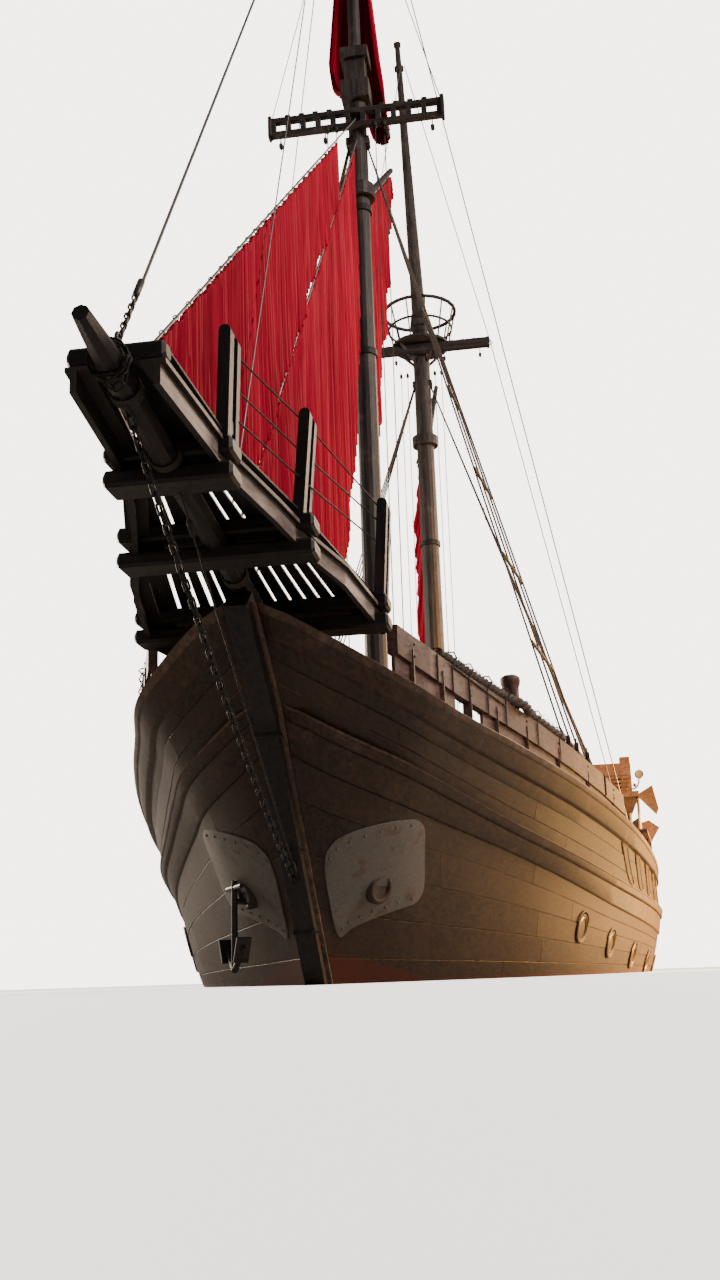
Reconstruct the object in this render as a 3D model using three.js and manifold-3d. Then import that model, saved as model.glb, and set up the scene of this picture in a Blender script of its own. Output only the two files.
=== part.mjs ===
// A two-masted wooden junk-type sailing ship, afloat, at full size in millimetres.
// +Z is up, -Y is forward and +X is the port side. The origin lies on the centreline
// where the stem meets the waterline, so z = 0 is the water.
import * as THREE from 'three';
import { mergeVertices } from 'three/addons/utils/BufferGeometryUtils.js';
import Module from 'manifold-3d';

const wasm = await Module();
wasm.setup();

// Driving dimensions
const GAP = 0.4; // clearance left between a piece and the one it is seated on
const PORT = 1;
const STARBOARD = -1;
const SIDES = [PORT, STARBOARD];
const KEEL_HALF = 130; // half the siding of the keel
const STEM_HALF = 100;
const KEEL_BOTTOM = -2450;
const SKEG_TOP = -2300;
const BULWARK_THICK = 110;
const BULWARK_START = 0.5; // in stations aft of the stem
const DECK_THICK = 45;
const DECK_CAMBER = 90;
const WALE_PROUD = 70;
const BAND_PROUD = 35;
const SAIL_HALF = 35; // half the thickness of a sail as a plain solid
const STAY_RADIUS = 12;
const SHROUD_RADIUS = 14;

// Finish of each kind of piece: colour, roughness, metalness
const finish = (color, roughness, metalness = 0) =>
  new THREE.MeshStandardMaterial({ color, roughness, metalness });
const FINISHES = {
  hull: () => finish(0x3b2417, 0.55),
  darkTimber: () => finish(0x2a1c15, 0.7),
  rail: () => finish(0x6b3d2a, 0.6),
  deck: () => finish(0x8a6a4a, 0.75),
  mast: () => finish(0x3a312c, 0.65),
  sail: () => finish(0xa8141c, 0.9),
  rope: () => finish(0x4a4038, 0.9),
  iron: () => finish(0x4b4744, 0.6, 0.8),
  plate: () => finish(0x8d8c88, 0.55, 0.7),
  bronze: () => finish(0x8c6a3a, 0.35, 1.0),
  paint: () => finish(0xc9b79a, 0.6),
};

// Hull guide lines from the keel up. Each row holds one point per station,
// and each point is [half-breadth, distance aft of the origin, height].
const GUIDES = {
  garboard: [
    [130, 2000, -1500], [130, 2600, -1700], [130, 3400, -1850], [130, 4200, -1950],
    [130, 5400, -2000], [130, 7000, -2000], [130, 10000, -2000], [130, 12500, -2000],
    [130, 15500, -2000], [130, 18500, -1900], [130, 21500, -1450], [130, 24200, -600],
  ],
  bilge: [
    [130, 850, -800], [270, 1300, -850], [520, 2000, -900], [820, 2800, -950],
    [1180, 3700, -1000], [1750, 5200, -1050], [2500, 8000, -1150], [3050, 10800, -1200],
    [3450, 14200, -1250], [3300, 17800, -1150], [2400, 21400, -750], [1200, 24600, -150],
  ],
  waterline: [
    [130, 0, 0], [330, 350, 0], [660, 900, 0], [1050, 1550, 0],
    [1500, 2350, 0], [2150, 3700, 0], [2920, 6200, 0], [3520, 9200, 0],
    [3980, 13500, 0], [3960, 17500, 20], [3480, 21400, 80], [2400, 25000, 300],
  ],
  band: [
    [130, -1880, 2020], [420, -1600, 1870], [900, -900, 1690], [1300, 100, 1560],
    [1750, 1250, 1420], [2380, 3000, 1200], [3100, 5800, 940], [3740, 9000, 760],
    [4180, 13500, 700], [4230, 17500, 820], [4000, 21600, 1120], [3430, 25550, 1650],
  ],
  wale: [
    [130, -2230, 2410], [480, -1900, 2230], [1000, -1200, 2020], [1400, -200, 1860],
    [1840, 1000, 1680], [2500, 2900, 1460], [3180, 5800, 1290], [3830, 9300, 1160],
    [4230, 13500, 1120], [4290, 17500, 1250], [4100, 21700, 1600], [3580, 25800, 2180],
  ],
  sheer: [
    [130, -3150, 3100], [600, -2750, 2870], [1170, -2000, 2610], [1600, -800, 2480],
    [2050, 500, 2390], [2700, 2700, 2260], [3400, 5800, 2080], [3900, 9500, 1940],
    [4200, 13500, 1900], [4250, 17500, 2060], [4100, 21800, 2460], [3650, 26000, 3120],
  ],
};
const LINES = Object.keys(GUIDES);
const STATIONS = GUIDES.sheer.length;
const SHEER_V = LINES.indexOf('sheer');
const WALE_V = LINES.indexOf('wale');
const BAND_V = LINES.indexOf('band');
const DECK_V = 4.5; // the deck's edge lies between the wale and the sheer

const curves = LINES.map((line) => new THREE.CatmullRomCurve3(
  GUIDES[line].map(([x, y, z]) => new THREE.Vector3(x, y, z))));

// A point of the planking: u counts stations from the stem, v counts guide lines from the keel
function planking(u, v) {
  const section = curves.map((curve) => curve.getPoint(u / (STATIONS - 1)));
  return new THREE.CatmullRomCurve3(section).getPoint(v / (LINES.length - 1));
}

// Half-breadth and height of the line v at a distance y aft of the origin
function atLength(y, v) {
  let low = 0;
  let high = STATIONS - 1;
  for (let step = 0; step < 40; step += 1) {
    const middle = (low + high) / 2;
    if (planking(middle, v).y < y) low = middle;
    else high = middle;
  }
  const point = planking((low + high) / 2, v);
  return { x: point.x, z: point.z, u: (low + high) / 2 };
}

// Shapes
// A closed body of triangles, turned inside out where its faces point in
function bodyFrom(positions, indices) {
  const geometry = new THREE.BufferGeometry();
  geometry.setAttribute('position', new THREE.Float32BufferAttribute(positions, 3));
  const at = (i) => new THREE.Vector3(...positions.slice(3 * i, 3 * i + 3));
  let volume = 0;
  for (let i = 0; i < indices.length; i += 3) {
    volume += at(indices[i]).dot(at(indices[i + 1]).cross(at(indices[i + 2])));
  }
  geometry.setIndex(volume < 0 ? [...indices].reverse() : indices);
  return solid(geometry);
}

function solid(geometry) {
  const bare = geometry.clone();
  bare.deleteAttribute('normal');
  bare.deleteAttribute('uv');
  const merged = mergeVertices(bare, 1e-3);
  return new wasm.Manifold(new wasm.Mesh({
    numProp: 3,
    vertProperties: new Float32Array(merged.attributes.position.array),
    triVerts: new Uint32Array(merged.index.array),
  }));
}

function geometryOf(body) {
  const mesh = body.getMesh();
  const geometry = new THREE.BufferGeometry();
  geometry.setAttribute('position', new THREE.BufferAttribute(new Float32Array(mesh.vertProperties), 3));
  geometry.setIndex(new THREE.BufferAttribute(new Uint32Array(mesh.triVerts), 1));
  geometry.computeVertexNormals();
  return geometry;
}

const join = (bodies) => bodies.reduce((whole, body) => whole.add(body));
const shifted = (body, x, y, z) => solid(geometryOf(body).translate(x, y, z));

// The same body on the other side of the centreline
function mirrored(body) {
  const geometry = geometryOf(body).scale(-1, 1, 1);
  return bodyFrom([...geometry.attributes.position.array], [...geometry.index.array]);
}
const onSide = (side, body) => (side === PORT ? body : mirrored(body));

// A piece cut to lie on its carrier, with the gap opened along each of the directions given
function seated(piece, carrier, ...directions) {
  return directions.reduce((left, [x, y, z]) => (
    left.subtract(shifted(carrier, x * GAP, y * GAP, z * GAP))), piece);
}

function box(x0, x1, y0, y1, z0, z1) {
  const geometry = new THREE.BoxGeometry(Math.abs(x1 - x0), y1 - y0, z1 - z0);
  return solid(geometry.translate((x0 + x1) / 2, (y0 + y1) / 2, (z0 + z1) / 2));
}

// A ring of points at each of several places along a piece, skinned and closed at its ends
function skin(rings) {
  const sides = rings[0].length;
  const positions = rings.flat().flatMap((point) => [point.x, point.y, point.z]);
  const indices = [];
  for (let ring = 0; ring < rings.length - 1; ring += 1) {
    for (let side = 0; side < sides; side += 1) {
      const a = ring * sides + side;
      const b = ring * sides + ((side + 1) % sides);
      indices.push(a, b, b + sides, a, b + sides, a + sides);
    }
  }
  const last = (rings.length - 1) * sides;
  for (let side = 1; side < sides - 1; side += 1) {
    indices.push(0, side + 1, side);
    indices.push(last, last + side, last + side + 1);
  }
  return bodyFrom(positions, indices);
}

// A round bar of several sides between two points, with its own radius at each end
function bar(from, to, radius, sides = 8, farRadius = radius) {
  const start = new THREE.Vector3(...from);
  const end = new THREE.Vector3(...to);
  const along = end.clone().sub(start);
  const geometry = new THREE.CylinderGeometry(farRadius, radius, along.length(), sides);
  geometry.applyQuaternion(new THREE.Quaternion().setFromUnitVectors(
    new THREE.Vector3(0, 1, 0), along.clone().normalize()));
  const middle = start.add(end).multiplyScalar(0.5);
  return solid(geometry.translate(middle.x, middle.y, middle.z));
}

// A straight timber of width (sideways) and depth (up) between two points
function timber(from, to, width, depth) {
  const start = new THREE.Vector3(...from);
  const end = new THREE.Vector3(...to);
  const along = end.clone().sub(start).normalize();
  const side = along.clone().cross(new THREE.Vector3(0, 0, 1)).normalize().multiplyScalar(width / 2);
  const up = side.clone().cross(along).normalize().multiplyScalar(depth / 2);
  const ring = (point) => [[1, 1], [-1, 1], [-1, -1], [1, -1]].map(([a, b]) => (
    point.clone().addScaledVector(side, a).addScaledVector(up, b)));
  return skin([ring(start), ring(end)]);
}

// A rectangular timber bent along points, width measured along X and depth along Z
function bentTimber(points, width, depth) {
  return skin(points.map(({ x, y, z }) => [[1, 1], [-1, 1], [-1, -1], [1, -1]].map(([a, b]) => (
    new THREE.Vector3(x + (a * width) / 2, y, z + (b * depth) / 2)))));
}

// A flat piece standing fore and aft, its outline given as [y, z] points, from x0 to x1
function slab(outline, x0, x1) {
  const shape = new THREE.Shape(outline.map(([y, z]) => new THREE.Vector2(y, z)));
  const geometry = new THREE.ExtrudeGeometry(shape, { depth: Math.abs(x1 - x0), bevelEnabled: false });
  const axes = new THREE.Matrix4().makeBasis(
    new THREE.Vector3(0, 1, 0), new THREE.Vector3(0, 0, 1), new THREE.Vector3(1, 0, 0));
  geometry.applyMatrix4(axes);
  return solid(geometry.translate(Math.min(x0, x1), 0, 0));
}

function ring(inner, outer, z0, z1, sides) {
  const profile = [[inner, z0], [outer, z0], [outer, z1], [inner, z1], [inner, z0]];
  const geometry = new THREE.LatheGeometry(profile.map(([r, z]) => new THREE.Vector2(r, z)), sides);
  return solid(geometry.rotateX(Math.PI / 2));
}

// The scene graph
const group = new THREE.Group();
function place(parent, name, body, material) {
  const mesh = new THREE.Mesh(geometryOf(body), material());
  mesh.name = name;
  parent.add(mesh);
  return body;
}
const sideName = (side) => (side === PORT ? 'port' : 'starboard');
const placeBothSides = (name, portBody, material) => SIDES.map((side) => (
  place(group, `${name}_${sideName(side)}`, onSide(side, portBody), material)))[0];

// Hull: planked body up to the deck's edge, with the deck's camber as its top
const U_LAST = STATIONS - 1;
const U_STEPS = 2 * U_LAST;
const LOWER_WALE_FOOT = 3.72;
const UPPER_WALE_FOOT = 4.68;
const HULL_LINES = [0, 0.5, 1, 1.5, 2, 2.5, BAND_V, LOWER_WALE_FOOT, WALE_V, DECK_V];
const V_STEPS = HULL_LINES.length - 1;
const stationsFrom = (first, last, steps) => (
  Array.from({ length: steps + 1 }, (_, i) => first + ((last - first) * i) / steps));
const FULL_CAMBER_HALF_BREADTH = 4200;
const crownOf = (edge) => edge.z + (DECK_CAMBER * edge.x) / FULL_CAMBER_HALF_BREADTH;

function hullBody() {
  const rings = stationsFrom(0, U_LAST, U_STEPS).map((u) => {
    const half = HULL_LINES.map((v) => planking(u, v));
    const edge = half[V_STEPS];
    const crown = new THREE.Vector3(0, edge.y, crownOf(edge));
    const other = half.map((point) => new THREE.Vector3(-point.x, point.y, point.z)).reverse();
    return [...half, crown, ...other];
  });
  const count = rings[0].length;
  const positions = rings.flat().flatMap((point) => [point.x, point.y, point.z]);
  const indices = [];
  for (let i = 0; i < U_STEPS; i += 1) {
    for (let j = 0; j < count; j += 1) {
      const a = i * count + j;
      const b = i * count + ((j + 1) % count);
      const starboardHalf = j > V_STEPS;
      indices.push(...(starboardHalf
        ? [a, b, a + count, b, b + count, a + count]
        : [a, b, b + count, a, b + count, a + count]));
    }
  }
  // Both ends are closed by strips from side to side
  const closeEnd = (base, turned) => {
    const triangles = [[base + V_STEPS, base + V_STEPS + 1, base + V_STEPS + 2]];
    for (let j = 0; j < V_STEPS; j += 1) {
      const [a, b] = [base + j, base + j + 1];
      const [c, d] = [base + count - 2 - j, base + count - 1 - j];
      triangles.push([a, b, c], [a, c, d]);
    }
    triangles.forEach((triangle) => indices.push(...(turned ? triangle.reverse() : triangle)));
  };
  closeEnd(0, true);
  closeEnd(U_STEPS * count, false);
  return bodyFrom(positions, indices);
}
// The rudder's stock turns in a boss under the counter
const RUDDER_AXIS_Y = 23750;
const STOCK_RADIUS = 60;
const RUDDER_PORT = { low: -960, high: -650, radius: 110, running: 6 };
const rudderBoss = bar([0, RUDDER_AXIS_Y, RUDDER_PORT.low], [0, RUDDER_AXIS_Y, RUDDER_PORT.high],
  RUDDER_PORT.radius, 16);
const rudderBore = bar([0, RUDDER_AXIS_Y, RUDDER_PORT.low - 50], [0, RUDDER_AXIS_Y, RUDDER_PORT.high],
  STOCK_RADIUS + RUDDER_PORT.running, 16);
const hull = place(group, 'hull', hullBody().add(rudderBoss).subtract(rudderBore), FINISHES.hull);

// Level direction square to the planking
function outwardAt(u, v) {
  const ahead = planking(Math.max(u - 0.05, 0), v);
  const behind = planking(Math.min(u + 0.05, U_LAST), v);
  return new THREE.Vector3(behind.y - ahead.y, ahead.x - behind.x, 0).normalize();
}

// A strake along the port side, lying on the planking's own facets.
// Its section is a list of [line, distance out from the planking]
function strake(stations, section) {
  const highest = Math.max(...section.map(([v]) => v));
  return skin(stations.map((u) => {
    const out = outwardAt(u, highest);
    return section.map(([v, distance]) => planking(u, v).addScaledVector(out, distance));
  }));
}

// Bulwarks stand on the deck's edge, up to the sheer, at the hull's own stations.
// Their foot lies on the hull along its outer edge and rises a little inwards.
const BULWARK_STATIONS = stationsFrom(BULWARK_START, U_LAST, U_STEPS - 1);
const FOOT_RISE = 4;
function bulwarkBody() {
  return skin(BULWARK_STATIONS.map((u) => {
    const foot = planking(u, DECK_V);
    const top = planking(u, SHEER_V);
    const slope = (crownOf(foot) - foot.z) / foot.x;
    return [
      foot.clone().setZ(foot.z + GAP), planking(u, UPPER_WALE_FOOT), top,
      top.clone().setX(top.x - BULWARK_THICK),
      new THREE.Vector3(foot.x - BULWARK_THICK, foot.y, foot.z + slope * BULWARK_THICK + FOOT_RISE),
    ];
  }));
}
const bulwark = placeBothSides('bulwark', bulwarkBody(), FINISHES.hull);

// Wales, and the planked band under the lower one
const upperWale = placeBothSides('wale_upper', strake(BULWARK_STATIONS, [
  [UPPER_WALE_FOOT, GAP], [SHEER_V, GAP], [SHEER_V, WALE_PROUD], [UPPER_WALE_FOOT, WALE_PROUD],
]), FINISHES.rail);
const WALE_CHAMFER = 0.03;
placeBothSides('wale_lower', strake(BULWARK_STATIONS, [
  [LOWER_WALE_FOOT, GAP], [WALE_V, GAP], [WALE_V, WALE_PROUD], [LOWER_WALE_FOOT, WALE_PROUD],
  [LOWER_WALE_FOOT - WALE_CHAMFER, BAND_PROUD], [BAND_V, BAND_PROUD], [BAND_V, GAP],
]), FINISHES.rail);

// Keel with deadwood, skeg and stern tube, seated under the hull
const STERNPOST_Y = 22200;
const SKEG_END_Y = 24250;
const keelOutline = [
  [2350, -1450], [3000, -1700], [5000, -1850], [19000, -1700], [STERNPOST_Y, -1050],
  [STERNPOST_Y, SKEG_TOP], [SKEG_END_Y, SKEG_TOP], [SKEG_END_Y, KEEL_BOTTOM],
  [5600, KEEL_BOTTOM], [3600, -2250], [2500, -1950],
];
const PROP = { y: 22750, z: -1720, hub: 125, hubLong: 400, blades: 4 };
const sternTube = bar([0, STERNPOST_Y - 100, PROP.z], [0, PROP.y - PROP.hubLong / 2 - GAP, PROP.z], 110, 16);
const keel = place(group, 'keel', seated(slab(keelOutline, -KEEL_HALF, KEEL_HALF), hull, [0, 0, -1])
  .add(sternTube), FINISHES.darkTimber);

// Bowsprit: a log of eight sides over the stem head, its heel held by a bitt on the foredeck
const LOG = { tip: [0, -6830, 3781], heel: [0, -1500, 3035], radius: 95, tipRadius: 55, shoulder: -6350 };
function logHeight(y) {
  const [, y0, z0] = LOG.tip;
  const [, y1, z1] = LOG.heel;
  return z0 + ((z1 - z0) * (y - y0)) / (y1 - y0);
}
const log = bar([0, LOG.shoulder - 10, logHeight(LOG.shoulder - 10)], LOG.heel, LOG.radius, 8)
  .add(bar(LOG.tip, [0, LOG.shoulder, logHeight(LOG.shoulder)], LOG.tipRadius, 8, LOG.radius - 1));

// Stem: a curved timber from the keel's fore end to the log
const STEM_FORWARD = 190;
const stemLine = [
  [2000, -1500], [1450, -1200], [850, -800], [420, -400], [0, 0], [-1880, 2020], [-2230, 2410],
  [-3150, 3100], [-3180, 3130],
];
const stemOutline = [
  ...stemLine.map(([y, z]) => [y - STEM_FORWARD * 0.8, z - STEM_FORWARD * 0.6]),
  ...[...stemLine].reverse().map(([y, z]) => [y + 60, z + 60]),
];
const stemBlank = slab(stemOutline, -STEM_HALF, STEM_HALF);
const stem = place(group, 'stem', seated(seated(seated(
  stemBlank, hull, [0, -1, 0], [0, -1, -1], [0, 0, 1]),
keel, [0, -1, 0], [0, -1, -1]), log, [0, 0, -1]), FINISHES.darkTimber);

// Main deck, laid on the hull between the bulwarks
const WATERWAY = 60; // between the deck's edge and the bulwark
function deckShape(down) {
  return skin(stationsFrom(1, U_LAST - 0.02, U_STEPS).map((u) => {
    const edge = planking(u, DECK_V);
    const x = edge.x - BULWARK_THICK - WATERWAY;
    const z = edge.z + (crownOf(edge) - edge.z) * (1 - x / edge.x);
    return [
      new THREE.Vector3(x, edge.y, z + DECK_THICK), new THREE.Vector3(0, edge.y, crownOf(edge) + DECK_THICK),
      new THREE.Vector3(-x, edge.y, z + DECK_THICK), new THREE.Vector3(-x, edge.y, z - down),
      new THREE.Vector3(x, edge.y, z - down),
    ];
  }));
}
const deck = place(group, 'main_deck', seated(seated(deckShape(30), hull, [0, 0, 1]),
  slab(stemOutline, -STEM_HALF - GAP, STEM_HALF + GAP), [0, 1, 0], [0, 1, 1], [0, 0, 1]), FINISHES.deck);
// Everything under the deck's surface, for what stands on the deck
const underDeck = deckShape(900);
function deckHeight(y) {
  const edge = atLength(y, DECK_V);
  return crownOf(edge) + DECK_THICK;
}

// Rails: each has a cap along the top of the bulwark, which carries its posts and its plank or bar.
// The stations are the bulwark's own, so the cap lies flat on it.
const CAP_OVERHANG = 12;
const CAP_THICK = 32;
const PANEL_HALF = 15;
const capMiddle = (u) => {
  const { x, y, z } = planking(u, SHEER_V);
  return new THREE.Vector3(x - BULWARK_THICK / 2, y, z + GAP + CAP_THICK / 2);
};
function railBody({ first, last, thick, deep, liftFirst, liftLast, postsEach, postWide, panels }) {
  const run = BULWARK_STATIONS.slice(first, last + 1);
  const cap = bentTimber(run.map(capMiddle), BULWARK_THICK + 2 * CAP_OVERHANG, CAP_THICK);
  const share = (i) => i / (run.length - 1);
  const lift = (i) => liftFirst + (liftLast - liftFirst) * share(i);
  const raised = run.map((u, i) => capMiddle(u).add(new THREE.Vector3(0, 0, lift(i) + deep / 2)));
  const plank = bentTimber(raised, thick, deep);
  const posts = [];
  for (let i = 0; i < run.length - 1; i += 1) {
    for (let k = 0; k < postsEach; k += 1) {
      const along = (k + 0.5) / postsEach;
      const foot = capMiddle(run[i]).lerp(capMiddle(run[i + 1]), along);
      const top = raised[i].clone().lerp(raised[i + 1], along);
      posts.push(box(foot.x - postWide / 2, foot.x + postWide / 2,
        foot.y - postWide / 2, foot.y + postWide / 2, foot.z, top.z));
    }
  }
  const boards = panels.map((i) => skin([i, i + 1].map((k) => {
    const low = capMiddle(run[k]);
    return [[1, raised[k].z], [-1, raised[k].z], [-1, low.z], [1, low.z]].map(([way, z]) => (
      new THREE.Vector3(low.x + way * PANEL_HALF, low.y, z)));
  })));
  return { body: join([cap, plank, ...posts, ...boards]), raised };
}
// Fore rail: a heavy plank on short posts, boarded under the plank but for one gap,
// with a timber head post
const foreRail = railBody({
  first: 3, last: 11, thick: 95, deep: 270, liftFirst: 230, liftLast: 110, postsEach: 1, postWide: 90,
  panels: [0, 1, 3, 4, 5, 6, 7],
});
const headPostFoot = foreRail.raised[4].clone().lerp(foreRail.raised[5], 0.3);
headPostFoot.x -= 40;
const headPost = bar([headPostFoot.x, headPostFoot.y, headPostFoot.z - 100],
  [headPostFoot.x, headPostFoot.y, headPostFoot.z + 480], 75, 8, 90);
placeBothSides('rail_fore', foreRail.body.add(headPost), FINISHES.rail);

// Aft rail: a low bar on posts, from the fore shrouds to the stern
const aftRail = railBody({
  first: 13, last: U_STEPS - 2, thick: 140, deep: 60, liftFirst: 340, liftLast: 420,
  postsEach: 1, postWide: 80, panels: [],
});
placeBothSides('rail_aft', aftRail.body, FINISHES.rail);

const BITT = { y: -1560, half: 130, height: 420 };
const bitt = seated(box(-BITT.half, BITT.half, BITT.y - 80, BITT.y + 80,
  deckHeight(BITT.y) - 20, logHeight(BITT.y) + BITT.height), underDeck, [0, 0, 1]);
place(group, 'bowsprit', log.add(bitt), FINISHES.darkTimber);

// Beakhead: pairs of cross beams over and under the log, joined inboard of their ends, with slats.
// Each row: distance aft, half-length, middle heights of the beams, slats a side aft of it
const BEAMS = [
  { y: -6170, half: 320, upper: 3825, lower: null, slats: 2 },
  { y: -5040, half: 465, upper: 3630, lower: 3445, slats: 5 },
  { y: -3820, half: 790, upper: 3475, lower: 3270, slats: 7 },
  { y: -2325, half: 1145, upper: 3235, lower: 3060, slats: 0 },
];
const BEAM = { deep: 125, wide: 290, foreWide: 150 };
const BLOCK = { inner: 330, outer: 240 }; // measured in from the beam's end
const SLAT = { thick: 30, fill: 0.68, reach: 0.84, middle: 0.07 };
const beamWide = ({ lower }) => (lower === null ? BEAM.foreWide : BEAM.wide);
const beamBox = (beam, z, more = 0) => box(-beam.half - more, beam.half + more,
  beam.y - beamWide(beam) / 2 - more, beam.y + beamWide(beam) / 2 + more,
  z - BEAM.deep / 2 - more, z + BEAM.deep / 2 + more);
const beamBoxes = (more) => BEAMS.flatMap((beam) => [beam.upper, beam.lower]
  .filter((z) => z !== null).map((z) => beamBox(beam, z, more)));
function platformBody() {
  const bodies = beamBoxes(0);
  for (const side of SIDES) {
    for (const { y, half, upper, lower } of BEAMS.slice(1)) {
      const inner = Math.max(half - BLOCK.inner, LOG.radius);
      const [x0, x1] = [side * inner, side * (half - BLOCK.outer)].sort((a, b) => a - b);
      bodies.push(box(x0, x1, y - 70, y + 70, lower, upper));
    }
    BEAMS.slice(0, -1).forEach((beam, i) => {
      const next = BEAMS[i + 1];
      const pitch = SLAT.reach / beam.slats;
      for (let k = 0; k < beam.slats; k += 1) {
        bodies.push(skin([beam, next].map(({ y, half, upper }) => {
          const x = side * half * (SLAT.middle + (k + 0.5) * pitch);
          const wide = half * pitch * SLAT.fill;
          const low = upper + BEAM.deep / 2 - 10;
          return [[0.5, SLAT.thick], [-0.5, SLAT.thick], [-0.5, 0], [0.5, 0]].map(([a, up]) => (
            new THREE.Vector3(x + a * wide, y, low + up)));
        })));
      }
    });
  }
  return seated(seated(join(bodies), log, [0, 0, 1], [0, 0, -1], [1, 0, 0], [-1, 0, 0]),
    stem, [0, 0, 1], [0, -1, 0], [1, 0, 0], [-1, 0, 0]);
}
const platform = place(group, 'beak_platform', platformBody(), FINISHES.darkTimber);

// Side rails of the beakhead: a plank on edge between the upper and lower beams under a wide cap.
// Each row: outer edge's half-breadth, distance aft and height of the cap's top
const BEAK_RAIL = [
  [325, -6240, 3758],
  [385, -5400, 3708],
  [430, -4880, 3648],
  [600, -4250, 3545],
  [765, -3700, 3410],
  [935, -3200, 3330],
  [1115, -2170, 3170],
];
const CAP = { wide: 170, thick: 32 };
const PLANK = { inset: 35, thick: 45, deep: 165 };
const railPoint = (inset, down) => ([x, y, z]) => new THREE.Vector3(x - inset, y, z - down);
const beakRail = bentTimber(BEAK_RAIL.map(railPoint(CAP.wide / 2, CAP.thick / 2)), CAP.wide, CAP.thick)
  .add(bentTimber(BEAK_RAIL.map(railPoint(PLANK.inset + PLANK.thick / 2, PLANK.deep / 2 + 10)),
    PLANK.thick, PLANK.deep));
const beakRailBody = beamBoxes(GAP).reduce((left, room) => left.subtract(room), beakRail);
placeBothSides('beak_rail', beakRailBody, FINISHES.rail);

// Post pairs: two boards with rounded heads, one ahead of the other, standing on the upper beams.
// Each row: the beam, the half-breadth at foot and head, and the height of the heads
const POSTS = [
  { beam: 1, foot: 395, head: 420, top: 4520 },
  { beam: 2, foot: 670, head: 740, top: 4400 },
  { beam: 3, foot: 1075, head: 1130, top: 4170 },
];
const POST = { wide: 88, fore: 105, aft: 90, apart: 100 };
function postBoard(x0, x1, y, deep, foot, top) {
  const radius = POST.wide / 2;
  const corners = (x, z) => [[1, 1], [-1, 1], [-1, -1], [1, -1]].map(([a, b]) => (
    new THREE.Vector3(x + a * radius, y + (b * deep) / 2, z)));
  return skin([corners(x0, foot), corners(x1, top - radius)])
    .add(bar([x1, y - deep / 2, top - radius], [x1, y + deep / 2, top - radius], radius - 0.5, 16));
}
POSTS.forEach(({ beam, foot, head, top }, i) => {
  const { y, upper } = BEAMS[beam];
  const floor = upper + BEAM.deep / 2;
  const [foreY, aftY] = [y - (POST.apart + POST.fore) / 2, y + (POST.apart + POST.aft) / 2];
  const chock = box(foot - 35, foot + 35, foreY, aftY, floor + 60, floor + 160);
  placeBothSides(`beak_post_${i + 1}`, seated(seated(join([
    postBoard(foot, head, foreY, POST.fore, floor - 20, top),
    postBoard(foot, head, aftY, POST.aft, floor - 20, top), chock]),
  platform, [0, 0, 1], [0, 0, -1], [-1, 0, 0]), beakRailBody, [0, 0, 1], [-1, 0, 0]), FINISHES.darkTimber);
});

// Hawse plates on the bows: metal plates round the anchors' hawse rings, on the hull's facets.
// They slope up aft: low and high are the lines of their edges, a rise is what each station adds.
const PLATE = { thick: 18, sunk: -30, low: 2.17, lowRise: 0.117, high: 2.49, highRise: 0.186 };
const PLATE_STATIONS = [0.45, 0.9, 1.35, 1.8, 2.25, 2.6];
const HAWSE = { u: 1.7, v: 2.5 };
const plateBody = skin(PLATE_STATIONS.map((u) => {
  const low = PLATE.low + PLATE.lowRise * u;
  const high = PLATE.high + PLATE.highRise * u;
  const out = outwardAt(u, high);
  return [[low, PLATE.sunk], [(low + high) / 2, PLATE.sunk], [high, PLATE.sunk],
    [high, PLATE.thick], [(low + high) / 2, PLATE.thick], [low, PLATE.thick]].map(([v, distance]) => (
    planking(u, v).addScaledVector(out, distance)));
}));
const plateMiddle = planking(HAWSE.u, HAWSE.v);
const hawseOut = new THREE.Vector3(0.86, -0.5, 0.1).normalize();
const hawseAt = (along) => plateMiddle.clone().addScaledVector(hawseOut, along).toArray();
const hawseRing = bar(hawseAt(5), hawseAt(75), 190, 16, 170).subtract(bar(hawseAt(30), hawseAt(120), 120, 16));
const hawsePlate = placeBothSides('hawse_plate', seated(plateBody.add(hawseRing), hull, [1, -1, 0], [1, 0, 0]),
  FINISHES.plate);

// Bobstay chain from the log's fore end down to the stem near the water, with crossed flat links
const CHAIN = { links: 56, wide: 64, thick: 22, sag: 380 };
const chainTop = new THREE.Vector3(0, -6090, logHeight(-6090) - LOG.radius - GAP);
const chainFoot = new THREE.Vector3(0, -1040, 900);
function chainPoint(share) {
  const sag = CHAIN.sag * 4 * share * (1 - share);
  return chainTop.clone().lerp(chainFoot, share).add(new THREE.Vector3(0, sag * 0.55, -sag * 0.6));
}
function chainBody() {
  const links = [];
  for (let i = 0; i < CHAIN.links; i += 1) {
    const from = chainPoint(i / CHAIN.links);
    const to = chainPoint((i + 1) / CHAIN.links);
    const reach = to.clone().sub(from).multiplyScalar(0.22);
    const flat = i % 2 === 0;
    links.push(timber(from.clone().sub(reach).toArray(), to.clone().add(reach).toArray(),
      flat ? CHAIN.wide : CHAIN.thick, flat ? CHAIN.thick : CHAIN.wide));
  }
  return seated(seated(join(links), log, [0, 0, -1]), stem, [0, -1, 0], [0, -1, -1]);
}
place(group, 'bobstay_chain', chainBody(), FINISHES.iron);

// Masts. Heights are above the water, all rig pieces are in the frame of their mast's axis
const FORE = {
  y: 4980, radius: 175, hounds: 13150, top: 13880, mastheadRadius: 150,
  topmastTop: 23600, topmastRadius: 105,
};
const MAIN = {
  y: 14370, radius: 225, hounds: 13300, top: 14750, mastheadRadius: 185,
  topmastTop: 21500, topmastRadius: 165, topmastRake: [-100, -1300],
};
const masts = {};
for (const [name, mast] of Object.entries({ fore: FORE, main: MAIN })) {
  masts[name] = new THREE.Group();
  masts[name].position.set(0, mast.y, 0);
  group.add(masts[name]);
}
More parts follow.
